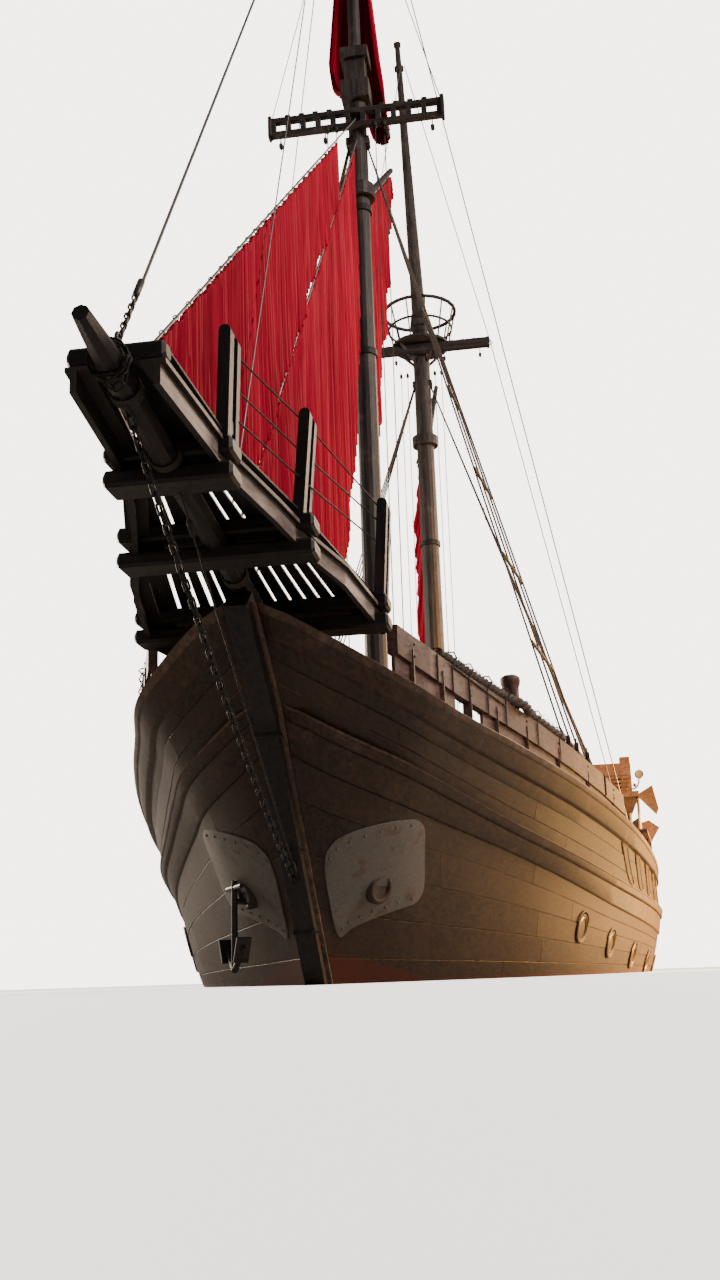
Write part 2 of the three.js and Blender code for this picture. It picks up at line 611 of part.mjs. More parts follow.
// Gaffs swing about their masts. Each has a collar that stands on a band of the spar's own mast.
// The throat and peak are [distance aft of the mast's axis, height]
const GAFFS = {
  fore: { throat: [330, 12250], peak: [4620, 15750], spar: 75 },
  main: { throat: [400, 11900], peak: [3880, 15050], spar: 80 },
};
const COLLAR = { high: 160, wall: 60, running: 6 };
const bandUnder = (gaff, mast) => ring(mast.radius * 0.7, mast.radius + COLLAR.running + COLLAR.wall,
  gaff.throat[1] - COLLAR.high / 2 - GAP - 60, gaff.throat[1] - COLLAR.high / 2 - GAP, 16);

const MAST_SIDES = 16;
const mastPole = (mast, more = 0) => bar([0, 0, deckHeight(mast.y) - 30], [0, 0, mast.top],
  mast.radius + more, MAST_SIDES, mast.mastheadRadius + more);
const mastBody = (mast, gaff) => seated(mastPole(mast).add(bandUnder(gaff, mast)),
  shifted(underDeck, 0, -mast.y, 0), [0, 0, 1]);
const foreMast = mastBody(FORE, GAFFS.fore);
const mainMast = mastBody(MAIN, GAFFS.main);
place(masts.fore, 'fore_mast', foreMast, FINISHES.mast);
place(masts.main, 'main_mast', mainMast, FINISHES.mast);

// Fore topmast on its cap block
const CAP_BLOCK = { half: 230, high: 950 };
const foreTopmast = join([
  box(-CAP_BLOCK.half, CAP_BLOCK.half, -CAP_BLOCK.half, CAP_BLOCK.half, FORE.top + GAP, FORE.top + 330),
  box(-CAP_BLOCK.half + 60, CAP_BLOCK.half - 60, -CAP_BLOCK.half + 60, CAP_BLOCK.half - 60,
    FORE.top + 200, FORE.top + 800),
  box(-CAP_BLOCK.half, CAP_BLOCK.half, -CAP_BLOCK.half, CAP_BLOCK.half,
    FORE.top + 760, FORE.top + CAP_BLOCK.high),
  bar([0, 0, FORE.top + 700], [0, 0, FORE.topmastTop], FORE.topmastRadius, 12, 50),
]);
place(masts.fore, 'fore_topmast', foreTopmast, FINISHES.mast);
// Main topmast, raked forward from its step, with a collar and a truck
function topmastPoint(z) {
  const share = (z - MAIN.top) / (MAIN.topmastTop - MAIN.top);
  return [MAIN.topmastRake[0] * share, MAIN.topmastRake[1] * share, z];
}
const topmastPiece = (z0, z1, radius, farRadius = radius) => (
  bar(topmastPoint(z0), topmastPoint(z1), radius, 12, farRadius));
const mainTopmast = join([
  bar([0, 0, MAIN.top + GAP], [0, 0, MAIN.top + 320], 225, 12, 200),
  topmastPiece(MAIN.top + 100, MAIN.topmastTop, MAIN.topmastRadius, 60),
  topmastPiece(MAIN.topmastTop - 620, MAIN.topmastTop - 520, 110),
  topmastPiece(MAIN.topmastTop - 40, MAIN.topmastTop + 50, 85),
]);
place(masts.main, 'main_topmast', mainTopmast, FINISHES.mast);

// Fore crosstree: a ladder-like lattice on the fore side of the mast.
// The jib stay passes through its middle window
const CROSSTREE = { z: 13480, half: 1400, deep: 330, thick: 110, bar: 80, windows: 11 };
function foreCrosstreeBody() {
  const { z, half, deep, thick, bar: rail, windows } = CROSSTREE;
  const y = -FORE.mastheadRadius - thick / 2 + 20;
  const bodies = [
    box(-half, half, y - thick / 2, y + thick / 2, z - deep / 2, z - deep / 2 + rail),
    box(-half, half, y - thick / 2, y + thick / 2, z + deep / 2 - rail, z + deep / 2),
  ];
  for (let i = 0; i <= windows; i += 1) {
    const x = -half + 45 + ((2 * half - 90) * i) / windows;
    bodies.push(box(x - 40, x + 40, y - thick / 2, y + thick / 2, z - deep / 2, z + deep / 2));
  }
  SIDES.forEach((side) => {
    const [a, b] = [side * half, side * (half + 35)].sort((p, q) => p - q);
    bodies.push(box(a, b, y - thick / 2 - 20, y + thick / 2 + 20, z - deep / 2 - 25, z + deep / 2 + 25));
  });
  return seated(join(bodies), foreMast, [0, -1, 0]);
}
place(masts.fore, 'fore_crosstree', foreCrosstreeBody(), FINISHES.mast);

// Main crosstree: a plain beam on the fore side of the mast, under the crow's nest
const MAIN_TREE = { z: 14080, half: 1610, deep: 200, thick: 150 };
const mainCrosstree = seated(box(-MAIN_TREE.half, MAIN_TREE.half,
  -MAIN.radius - MAIN_TREE.thick + 40, -MAIN.radius + 40,
  MAIN_TREE.z - MAIN_TREE.deep / 2, MAIN_TREE.z + MAIN_TREE.deep / 2), mainMast, [0, -1, 0]);
place(masts.main, 'main_crosstree', mainCrosstree, FINISHES.mast);

// Crow's nest: a floor round the mast with stanchions, a middle rail and a top ring
const NEST = { floor: 14230, floorRadius: 640, radius: 850, high: 870, stanchions: 12, sides: 24 };
function nestBody() {
  const { floor, floorRadius, radius, high, stanchions, sides } = NEST;
  const middle = (floorRadius + radius) / 2;
  const bodies = [
    ring(MAIN.mastheadRadius / 2, floorRadius + 20, floor, floor + 55, sides),
    ring(radius - 50, radius + 20, floor + high, floor + high + 50, sides),
    ring(middle - 28, middle + 12, floor + high * 0.5, floor + high * 0.5 + 40, sides),
  ];
  for (let i = 0; i < stanchions; i += 1) {
    const angle = ((i + 0.5) / stanchions) * 2 * Math.PI;
    const at = (distance, z) => [Math.cos(angle) * distance, Math.sin(angle) * distance, z];
    bodies.push(bar(at(floorRadius - 5, floor + 20), at(radius - 15, floor + high + 20), 18, 6));
  }
  return join(bodies).subtract(mastPole(MAIN, GAP));
}
place(masts.main, 'crows_nest', nestBody(), FINISHES.mast);

function gaffBody(gaff, mast) {
  const [throatY, throatZ] = gaff.throat;
  const [peakY, peakZ] = gaff.peak;
  const inner = mast.radius + COLLAR.running;
  return join([
    ring(inner, inner + COLLAR.wall, throatZ - COLLAR.high / 2, throatZ + COLLAR.high / 2, MAST_SIDES),
    bar([0, throatY - 60, throatZ], [0, peakY, peakZ], gaff.spar, 8, gaff.spar * 0.7),
  ]);
}
const foreGaff = place(masts.fore, 'fore_gaff', gaffBody(GAFFS.fore, FORE), FINISHES.mast);
const mainGaff = place(masts.main, 'main_gaff', gaffBody(GAFFS.main, MAIN), FINISHES.mast);

// A point part way from one [y, z] point to another, moved square to the line, to the right of it
function beside([y0, z0], [y1, z1], along, off) {
  const length = Math.hypot(y1 - y0, z1 - z0);
  const [dy, dz] = [(y1 - y0) / length, (z1 - z0) / length];
  return [y0 + dy * along + dz * off, z0 + dz * along - dy * off];
}
const lengthOf = ([y0, z0], [y1, z1]) => Math.hypot(y1 - y0, z1 - z0);

// Gaff sails, brailed in to their masts like curtains
const SAIL_SEAT = 0.6;
function gaffSailBody({ throat, peak }, spar, outline) {
  const reach = lengthOf(throat, peak);
  const head = [beside(throat, peak, 190, 20), beside(throat, peak, reach - 120, 20)];
  const [awayY, awayZ] = beside([0, 0], [peak[0] - throat[0], peak[1] - throat[1]], 0, 1);
  return seated(slab([...head, ...outline], -SAIL_HALF, SAIL_HALF), spar, [0, awayY, awayZ]);
}
const foresail = gaffSailBody(GAFFS.fore, foreGaff, [
  [3300, 13000], [1900, 10600], [1050, 8600], [760, 6600], [320, 6500], [300, 9000], [300, 11700],
]);
place(masts.fore, 'foresail', foresail, FINISHES.sail);
const mainsailCurtain = gaffSailBody(GAFFS.main, mainGaff, [
  [2600, 12700], [1500, 11000], [700, 10300], [340, 10500], [340, 11350],
]);
// The main sail's lower part hangs in a bunch to starboard of the mast.
// Each row: height, then the bunch's limits across and aft
const BUNCH = [
  [5300, -620, -270, 60, 380],
  [8500, -640, -250, 40, 400],
  [10300, -560, -190, 120, 480],
  [11250, -200, 60, 340, 760],
];
const bunch = skin(BUNCH.map(([z, x0, x1, y0, y1]) => (
  [[x0, y0], [x1, y0], [x1, y1], [x0, y1]].map(([x, y]) => new THREE.Vector3(x, y, z)))));
place(masts.main, 'mainsail', mainsailCurtain.add(bunch), FINISHES.sail);

// Topsail, gathered in a bundle behind the fore topmast, its clew let down to port.
// Each row: height, then its limits across and aft of the mast's axis
const TOPSAIL = [
  [13500, 190, 490, 300, 640],
  [14150, 40, 430, 270, 720],
  [14480, -420, 390, 260, 780],
  [14950, -490, 340, 240, 820],
  [16400, -330, 240, 60, 820],
  [18500, -330, 300, 50, 700],
  [20300, -180, 180, 40, 480],
];
const TOPSAIL_SIDES = 8;
const topsail = skin(TOPSAIL.map(([z, x0, x1, y0, y1]) => (
  Array.from({ length: TOPSAIL_SIDES }, (_, i) => {
    const angle = ((i + 0.5) / TOPSAIL_SIDES) * 2 * Math.PI;
    return new THREE.Vector3((x0 + x1) / 2 + Math.cos(angle) * (x1 - x0) * 0.54,
      (y0 + y1) / 2 + Math.sin(angle) * (y1 - y0) * 0.54, z);
  }))));
place(masts.fore, 'fore_topsail', seated(topsail, foreTopmast, [0, 1, 0]), FINISHES.sail);

// Head stays and the sails that hang from them, all on the centreline.
// Each stay runs from its foot to its mast, through a known point
const foreMastInShip = shifted(foreMast, 0, FORE.y, 0);
const STAY_SUNK = 20; // how far a stay's end goes into its carrier before it is cut
function stayLine([footY, top], [throughY, throughZ], headY) {
  const footZ = top - STAY_SUNK;
  const slope = (throughZ - footZ) / (throughY - footY);
  return [[footY, footZ], [headY, footZ + slope * (headY - footY)]];
}
const onLog = (y) => [y, logHeight(y) + LOG.radius];
const mastFace = FORE.y - FORE.mastheadRadius + 30;
const JIB_STAY = stayLine(onLog(-6072), [FORE.y - FORE.mastheadRadius - 35, CROSSTREE.z], mastFace);
const INNER_STAY = stayLine(onLog(-3480), [mastFace, FORE.hounds], mastFace);
const TOPMAST_STAY = stayLine([-6215, BEAMS[0].upper + BEAM.deep / 2], [-2340, 9700], FORE.y);
const stayBody = ([from, to]) => bar([0, ...from], [0, ...to], STAY_RADIUS, 6);
const headStay = (line, foot, mast) => (
  seated(seated(stayBody(line), foot, [0, 0, 1]), mast, [0, -1, 0]));
place(group, 'jib_stay', headStay(JIB_STAY, log, foreMastInShip), FINISHES.rope);
place(group, 'inner_stay', headStay(INNER_STAY, log, foreMastInShip), FINISHES.rope);
place(group, 'topmast_stay',
  headStay(TOPMAST_STAY, platform, shifted(foreTopmast, 0, FORE.y, 0)), FINISHES.rope);

const jibReach = lengthOf(...JIB_STAY);
const innerReach = lengthOf(...INNER_STAY);
const off = STAY_RADIUS + SAIL_SEAT;
place(group, 'outer_jib', slab([
  beside(...JIB_STAY, 760, off), beside(...JIB_STAY, jibReach * 0.8, off), [-950, 7000], [-2700, 4450],
], -SAIL_HALF, SAIL_HALF), FINISHES.sail);
place(group, 'inner_staysail', slab([
  beside(...INNER_STAY, 1300, off), beside(...INNER_STAY, innerReach * 0.93, off),
  [4350, 11500], [3950, 9000], [3150, 6600], [2000, 5050],
], -SAIL_HALF, SAIL_HALF), FINISHES.sail);

// Shrouds with wooden battens, down to a board inside the bulwark on each side
const CHANNEL = { inner: 290, deep: 250, thick: 50, beyond: 150, foot: 100 };
function shroudFan(mast, mastInShip, feet, battens) {
  const topX = mast.mastheadRadius - 20;
  const points = feet.map((y) => {
    const top = atLength(y, SHEER_V);
    const foot = atLength(y, DECK_V);
    const share = CHANNEL.deep / (top.z - foot.z);
    const inside = THREE.MathUtils.lerp(top.x, foot.x, share) - BULWARK_THICK;
    return new THREE.Vector3(inside - CHANNEL.foot, y, top.z - CHANNEL.deep);
  });
  const ends = [-CHANNEL.beyond, ...points.slice(2).map(() => 0), CHANNEL.beyond];
  const board = bentTimber(points.map((point, i) => (
    point.clone().add(new THREE.Vector3(CHANNEL.foot + 20 - CHANNEL.inner / 2, ends[i], 0)))),
  CHANNEL.inner, CHANNEL.thick);
  const heads = points.map((_, i) => new THREE.Vector3(topX, mast.y + (i - 1.5) * 25, mast.hounds));
  const lines = points.map((foot, i) => bar(foot.toArray(), heads[i].toArray(), SHROUD_RADIUS, 6));
  const rungs = battens.map((share) => timber(
    points[0].clone().lerp(heads[0], share).add(new THREE.Vector3(0, -90, 0)).toArray(),
    points[3].clone().lerp(heads[3], share).add(new THREE.Vector3(0, 90, 0)).toArray(), 36, 30));
  const headBlock = box(topX - 40, topX + 60, mast.y - 90, mast.y + 90, mast.hounds - 70, mast.hounds + 70);
  return seated(seated(join([board, ...lines, ...rungs, headBlock]), mastInShip, [1, 0, 0]),
    bulwark, [-1, 0, 0]);
}
const mainMastInShip = shifted(mainMast, 0, MAIN.y, 0);
const BATTENS = [0.12, 0.24, 0.36, 0.48, 0.6, 0.72];
placeBothSides('fore_shrouds', shroudFan(FORE, foreMastInShip, [4800, 5450, 6100, 6750],
  BATTENS), FINISHES.rope);
placeBothSides('main_shrouds', shroudFan(MAIN, mainMastInShip, [13700, 14350, 15000, 15650],
  BATTENS), FINISHES.rope);

// Rudder, its stock standing on the skeg's heel and turning in the boss under the counter
const RUDDER = { top: -1020, low: -2240, fore: 23550, aft: 24900, half: 45 };
const rudderBlade = skin([RUDDER.low, RUDDER.top].map((z) => [
  [RUDDER.fore, 0.5], [RUDDER_AXIS_Y, 1], [RUDDER.aft, 0.35],
  [RUDDER.aft, -0.35], [RUDDER_AXIS_Y, -1], [RUDDER.fore, -0.5],
].map(([y, share]) => new THREE.Vector3(share * RUDDER.half, y, z))));
place(group, 'rudder', rudderBlade.add(bar([0, RUDDER_AXIS_Y, SKEG_TOP + GAP],
  [0, RUDDER_AXIS_Y, RUDDER_PORT.high - 50], STOCK_RADIUS, 16)), FINISHES.darkTimber);

// Propeller: twisted blades on a hub that runs against the stern tube
// Each row: distance from the shaft's axis, chord, thickness, pitch in degrees
const BLADE = [
  [90, 190, 46, 58],
  [230, 250, 34, 42],
  [400, 250, 22, 31],
  [520, 110, 10, 26],
];
function bladeSection([radius, chord, thick, pitch]) {
  const angle = THREE.MathUtils.degToRad(pitch);
  return [[-1, 0], [0, 1], [1, 0], [0, -1]].map(([a, b]) => {
    const [along, off] = [(a * chord) / 2, (b * thick) / 2];
    return new THREE.Vector3(along * Math.cos(angle) - off * Math.sin(angle),
      along * Math.sin(angle) + off * Math.cos(angle), radius);
  });
}
function propellerBody() {
  const bodies = [bar([0, -PROP.hubLong / 2, 0], [0, PROP.hubLong / 2, 0], PROP.hub, 16, PROP.hub * 0.75)];
  for (let i = 0; i < PROP.blades; i += 1) {
    const turn = new THREE.Matrix4().makeRotationY(((i + 0.3) / PROP.blades) * 2 * Math.PI);
    bodies.push(skin(BLADE.map((row) => bladeSection(row).map((point) => point.applyMatrix4(turn)))));
  }
  return shifted(join(bodies), 0, PROP.y, PROP.z);
}
place(group, 'propeller', propellerBody(), FINISHES.bronze);

// Anchor hung from the starboard hawse by a bar that lies in the ring, drawn to port and mirrored
const ANCHOR = { out: 150, shank: 760, arm: 330, radius: 36 };
const anchorEye = hawseAt(ANCHOR.out);
const alongHull = new THREE.Vector3(0.5, 0.86, 0);
function anchorPoint(along, up) {
  const [x, y, z] = anchorEye;
  return [x + alongHull.x * along, y + alongHull.y * along, z + up];
}
function anchorBody() {
  const { shank, arm, radius } = ANCHOR;
  const bodies = [
    bar(anchorPoint(0, 110), anchorPoint(0, -shank), radius * 0.8, 8, radius),
    bar(anchorPoint(-260, 40), anchorPoint(260, 40), 24, 8),
    bar(hawseAt(40).map((value, i) => value - (i === 2 ? 92 : 0)), anchorPoint(0, -92), 30, 8),
  ];
  for (const way of SIDES) {
    bodies.push(bar(anchorPoint(0, -shank), anchorPoint(way * arm, 210 - shank), radius, 8, 20));
    bodies.push(timber(anchorPoint(way * arm * 0.62, 70 - shank), anchorPoint(way * arm * 1.02, 300 - shank), 150, 22));
  }
  return seated(join(bodies), hawsePlate, [0, 0, 1]);
}
place(group, 'anchor_starboard', onSide(STARBOARD, anchorBody()), FINISHES.iron);

// Deckhouse abaft the main mast
const HOUSE = {
  half: 3750, front: 16400, back: 22200, wall: 90, foot: 1350, top: 3750, roof: 120, eave: 450, fore: 350,
};
const WINDOW = { low: 2600, high: 3250 };
// Door opening of the front wall, and the door hung before it
const DOOR = { x0: 900, x1: 1700, low: 1880, high: 3560, thick: 45, lap: 40 };
const HINGE = { x: 840, y: HOUSE.front - 80, radius: 22, long: 120, block: 35 };
const HINGE_HEIGHTS = [2150, 3200];
const cutFrom = (wall, openings) => openings.reduce((left, opening) => left.subtract(opening), wall);

const acrossWindows = (centres, wide, y0, y1, low, high) => centres.map((x) => (
  box(x - wide / 2, x + wide / 2, y0 - 10, y1 + 10, low, high)));
const frontWindows = acrossWindows([-2900, -1800, -700, 2800], 700,
  HOUSE.front, HOUSE.front + HOUSE.wall, WINDOW.low, WINDOW.high);
const hingeBlocks = HINGE_HEIGHTS.map((z) => box(HINGE.x - HINGE.block, HINGE.x + HINGE.block,
  HINGE.y - HINGE.block, HOUSE.front + 20, z - 60, z));
const doorway = box(DOOR.x0, DOOR.x1, HOUSE.front - 10, HOUSE.front + HOUSE.wall + 10, DOOR.low, DOOR.high);
const houseFront = join([cutFrom(box(-HOUSE.half, HOUSE.half, HOUSE.front, HOUSE.front + HOUSE.wall,
  HOUSE.foot, HOUSE.top), [...frontWindows, doorway]), ...hingeBlocks]);
place(group, 'house_front', seated(houseFront, underDeck, [0, 0, 1]), FINISHES.paint);

const sideWindows = [17400, 18700, 20000, 21300].map((y) => box(
  HOUSE.half - HOUSE.wall - 10, HOUSE.half + 10, y - 350, y + 350, WINDOW.low + 100, WINDOW.high + 100));
placeBothSides('house_side', seated(cutFrom(box(HOUSE.half - HOUSE.wall, HOUSE.half,
  HOUSE.front + HOUSE.wall + GAP, HOUSE.back - HOUSE.wall - GAP, HOUSE.foot, HOUSE.top), sideWindows),
underDeck, [0, 0, 1]), FINISHES.paint);

const backWindows = acrossWindows([-2600, -1300, 1300, 2600], 700,
  HOUSE.back - HOUSE.wall, HOUSE.back, WINDOW.low + 150, WINDOW.high + 100);
place(group, 'house_back', seated(cutFrom(box(-HOUSE.half, HOUSE.half, HOUSE.back - HOUSE.wall, HOUSE.back,
  HOUSE.foot, HOUSE.top), backWindows), underDeck, [0, 0, 1]), FINISHES.paint);

const ROOF_TOP = HOUSE.top + GAP + HOUSE.roof;
// The roof's corners end in upturned boards. Each row is a corner of the board: [across, height]
const HORN = [[4150, 3780], [4500, 3980], [4600, 3460], [4550, 3330], [4300, 3600]];
const HORN_THICK = 70;
function houseRoofBody() {
  const [fore, aft] = [HOUSE.front - HOUSE.fore, HOUSE.back + HOUSE.fore];
  const bodies = [box(-HOUSE.half - HOUSE.eave, HOUSE.half + HOUSE.eave, fore, aft, HOUSE.top + GAP, ROOF_TOP)];
  for (const y of [fore + 10, aft - 10 - HORN_THICK]) {
    const horn = skin([y, y + HORN_THICK].map((at) => HORN.map(([x, z]) => new THREE.Vector3(x, at, z))));
    bodies.push(horn, mirrored(horn));
  }
  return join(bodies);
}
place(group, 'house_roof', houseRoofBody(), FINISHES.darkTimber);

// The door's hinge straps stand on the wall's blocks
const doorPanel = box(DOOR.x0 + 5, DOOR.x1 + DOOR.lap, HINGE.y + 20, HINGE.y + 20 + DOOR.thick,
  DOOR.low - DOOR.lap, DOOR.high + DOOR.lap);
const doorHinges = HINGE_HEIGHTS.flatMap((z) => [
  bar([HINGE.x, HINGE.y, z + GAP], [HINGE.x, HINGE.y, z + HINGE.long], HINGE.radius, 16),
  box(HINGE.x, DOOR.x0 + 80, HINGE.y - 5, HINGE.y + 20 + DOOR.thick, z + GAP, z + HINGE.long),
]);
place(group, 'house_door', join([doorPanel, ...doorHinges]), FINISHES.rail);

// Bridge parapet on the roof, open aft, with a small locker on each fore corner
const PARAPET = { half: 4100, front: 16700, back: 21500, wall: 60, high: 730 };
const parapetFoot = ROOF_TOP + GAP;
const parapetWall = (x0, x1, y0, y1) => box(x0, x1, y0, y1, parapetFoot, parapetFoot + PARAPET.high);
place(group, 'bridge_parapet', join([
  parapetWall(-PARAPET.half, PARAPET.half, PARAPET.front, PARAPET.front + PARAPET.wall),
  parapetWall(-PARAPET.half, PARAPET.wall - PARAPET.half, PARAPET.front, PARAPET.back),
  parapetWall(PARAPET.half - PARAPET.wall, PARAPET.half, PARAPET.front, PARAPET.back),
  ...SIDES.map((side) => box(side * 3980 - 110, side * 3980 + 110, PARAPET.front, PARAPET.front + 260,
    parapetFoot + PARAPET.high - 10, parapetFoot + PARAPET.high + 140)),
]), FINISHES.hull);

// Wheelhouse: four walls with windows all round and a doorway aft, under a roof
const WHEELHOUSE = { half: 1700, front: 19000, back: 21800, wall: 80, high: 1750, sill: 850, head: 1500 };
function wheelhouseBody() {
  const { half, front, back, wall, high, sill, head } = WHEELHOUSE;
  const z = ROOF_TOP + GAP;
  const openings = [
    box(wall - half, half - wall, front + wall, back - wall, z - 10, z + high + 10),
    box(-400, 400, back - wall - 10, back + 10, z - 10, z + head),
    ...acrossWindows([-1050, 0, 1050], 800, front, front + wall, z + sill, z + head),
    ...[front + 800, back - 800].map((y) => (
      box(-half - 10, half + 10, y - 450, y + 450, z + sill, z + head))),
  ];
  return cutFrom(box(-half, half, front, back, z, z + high), openings);
}
place(group, 'wheelhouse_walls', wheelhouseBody(), FINISHES.paint);
const wheelhouseTop = ROOF_TOP + GAP + WHEELHOUSE.high;
place(group, 'wheelhouse_roof', box(-WHEELHOUSE.half - 300, WHEELHOUSE.half + 300,
  WHEELHOUSE.front - 300, WHEELHOUSE.back + 300, wheelhouseTop + GAP, wheelhouseTop + GAP + 90),
FINISHES.darkTimber);

export default group;
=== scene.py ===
"""Looks of the junk ship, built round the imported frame.

Metres, +Z up, -Y forward, +X to port, z = 0 at the water.
"""
import math
import random

import bpy
import numpy as np
from mathutils import Matrix, Vector
from mathutils.bvhtree import BVHTree


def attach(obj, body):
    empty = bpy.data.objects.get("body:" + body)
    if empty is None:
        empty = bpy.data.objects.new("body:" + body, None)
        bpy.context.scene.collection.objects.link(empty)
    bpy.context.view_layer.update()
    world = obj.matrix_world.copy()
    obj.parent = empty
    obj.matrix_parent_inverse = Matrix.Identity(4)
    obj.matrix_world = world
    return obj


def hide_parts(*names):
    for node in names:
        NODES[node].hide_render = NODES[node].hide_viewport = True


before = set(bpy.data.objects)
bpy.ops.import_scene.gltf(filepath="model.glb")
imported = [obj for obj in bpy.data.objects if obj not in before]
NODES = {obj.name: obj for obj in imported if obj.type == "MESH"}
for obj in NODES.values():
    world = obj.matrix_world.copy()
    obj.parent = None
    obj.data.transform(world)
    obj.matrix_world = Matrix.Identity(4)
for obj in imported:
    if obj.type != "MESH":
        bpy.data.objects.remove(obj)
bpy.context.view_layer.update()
SHIP = "ship"
SIDES = {"port": 1, "starboard": -1}
X_AXIS, Y_AXIS, Z_AXIS = (1, 0, 0), (0, 1, 0), (0, 0, 1)

# Camera of the photograph, 5 cm over the water
EYE = Vector((2.5248, -13.2265, 0.05))
YAW, PITCH, ROLL = 0.1505, 0.2545, -0.0328
LENS = 36.5625


def aim_camera():
    """The photo's camera, level first and then rolled."""
    forward = Vector((-math.sin(YAW) * math.cos(PITCH), math.cos(YAW) * math.cos(PITCH), math.sin(PITCH)))
    level = Vector((math.cos(YAW), math.sin(YAW), 0))
    upright = level.cross(forward)
    right = math.cos(ROLL) * level + math.sin(ROLL) * upright
    up = -math.sin(ROLL) * level + math.cos(ROLL) * upright
    data = bpy.data.cameras.new("camera")
    data.lens = LENS
    data.clip_start, data.clip_end = 0.05, 2000
    camera = bpy.data.objects.new("camera", data)
    camera.matrix_world = Matrix.Translation(EYE) @ Matrix((right, up, -forward)).transposed().to_4x4()
    bpy.context.scene.collection.objects.link(camera)
    bpy.context.scene.camera = camera


aim_camera()


# Materials
class Nodes:
    """A short way to write a node tree."""

    def __init__(self, name):
        self.material = bpy.data.materials.new(name)
        self.material.use_nodes = True
        self.tree = self.material.node_tree
        self.shader = self.tree.nodes["Principled BSDF"]
        self.place = self.add("ShaderNodeTexCoord").outputs["Object"]

    def add(self, kind, inputs=None, **values):
        node = self.tree.nodes.new(kind)
        for key, value in values.items():
            setattr(node, key, value)
        for key, value in (inputs or {}).items():
            if isinstance(value, bpy.types.NodeSocket):
                self.tree.links.new(value, node.inputs[key])
            else:
                node.inputs[key].default_value = value
        return node

    def scaled(self, scale, turn=(0, 0, 0)):
        return self.add("ShaderNodeMapping", {
            "Vector": self.place, "Scale": scale, "Rotation": turn}).outputs["Vector"]

    def noise(self, scale, size=5.0, detail=8.0, rough=0.6, distort=0.0):
        return self.add("ShaderNodeTexNoise", {
            "Vector": self.scaled(scale), "Scale": size, "Detail": detail,
            "Roughness": rough, "Distortion": distort}).outputs["Fac"]

    def spread(self, value, low, high, to_low=0.0, to_high=1.0):
        return self.add("ShaderNodeMapRange", {
            "Value": value, "From Min": low, "From Max": high,
            "To Min": to_low, "To Max": to_high}).outputs["Result"]

    def mix(self, share, a, b):
        node = self.add("ShaderNodeMix", data_type="RGBA")
        for index, value in ((0, share), (6, a), (7, b)):
            if isinstance(value, bpy.types.NodeSocket):
                self.tree.links.new(value, node.inputs[index])
            else:
                node.inputs[index].default_value = value
        return node.outputs[2]

    def math(self, operation, a, b=0.0):
        return self.add("ShaderNodeMath", {0: a, 1: b}, operation=operation).outputs[0]

    def bump(self, height, strength, distance):
        return self.add("ShaderNodeBump", {
            "Height": height, "Strength": strength, "Distance": distance}).outputs["Normal"]

    def finish(self, color, rough, normal=None, **sockets):
        self.tree.links.new(color, self.shader.inputs["Base Color"])
        if isinstance(rough, bpy.types.NodeSocket):
            self.tree.links.new(rough, self.shader.inputs["Roughness"])
        else:
            self.shader.inputs["Roughness"].default_value = rough
        if normal:
            self.tree.links.new(normal, self.shader.inputs["Normal"])
        for key, value in sockets.items():
            self.shader.inputs[key.replace("_", " ")].default_value = value
        return self.material


def rgb(*values):
    """A colour with nothing of it see-through."""
    return (*values, 1.0)


ANTI_FOULING = rgb(0.065, 0.012, 0.006)
ALONG = {"x": (0.5, 7, 7), "y": (7, 0.5, 7), "z": (7, 7, 0.5)}


def wood(name, dark, light, along, worn=None, wear=0.5, streak=0.0, under=None, dipped=False):
    """Oiled timber: long grain, patches, fine pores and lighter worn places; with under, painted shade on
    faces turned down or inboard.
    """
    n = Nodes(name)
    grain = n.noise(ALONG[along], 3.0, 9.0, 0.62, 0.4)
    fine = n.noise(tuple(4 * s for s in ALONG[along]), 6.0, 6.0, 0.7)
    patch = n.noise((1, 1, 1), 0.9, 5.0, 0.6)
    color = n.mix(n.spread(grain, 0.34, 0.68), rgb(*dark), rgb(*light))
    color = n.mix(n.spread(patch, 0.35, 0.7, 0.0, 0.55), color, rgb(*(0.45 * d for d in dark)))
    if worn:
        rub = n.math("MULTIPLY", n.spread(n.noise((1, 1, 1), 2.6, 9.0, 0.72), 0.55, 0.72), wear)
        color = n.mix(rub, color, rgb(*worn))
    if streak:
        run = n.spread(n.noise((3.0, 3.0, 0.18), 2.2, 6.0, 0.65), 0.52, 0.75, 0.0, streak)
        color = n.mix(run, color, rgb(*(1.8 * v for v in light)))
    if under:
        # Painted shade: faces turned down or inboard take the dark under colour, and faces turned up and
        # outboard keep the lit grain
        facing = n.add("ShaderNodeSeparateXYZ", {"Vector": n.add("ShaderNodeNewGeometry").outputs["Normal"]})
        side = n.add("ShaderNodeSeparateXYZ", {"Vector": n.place}).outputs["X"]
        outboard = n.math("MULTIPLY", facing.outputs["X"], n.math("SIGN", side))
        low = n.math("ADD", facing.outputs["Z"], n.math("MULTIPLY", outboard, 0.9))
        color = n.mix(n.spread(low, 0.25, -0.1), color, rgb(*under))
    if dipped:
        depth = n.add("ShaderNodeSeparateXYZ", {"Vector": n.place}).outputs["Z"]
        color = n.mix(n.spread(depth, -0.03, -0.05), color, ANTI_FOULING)
    height = n.math("ADD", n.math("MULTIPLY", grain, 0.6), n.math("MULTIPLY", fine, 0.4))
    return n.finish(color, n.spread(fine, 0.3, 0.75, 0.42, 0.7), n.bump(height, 0.35, 0.006),
                    Specular_IOR_Level=0.28)


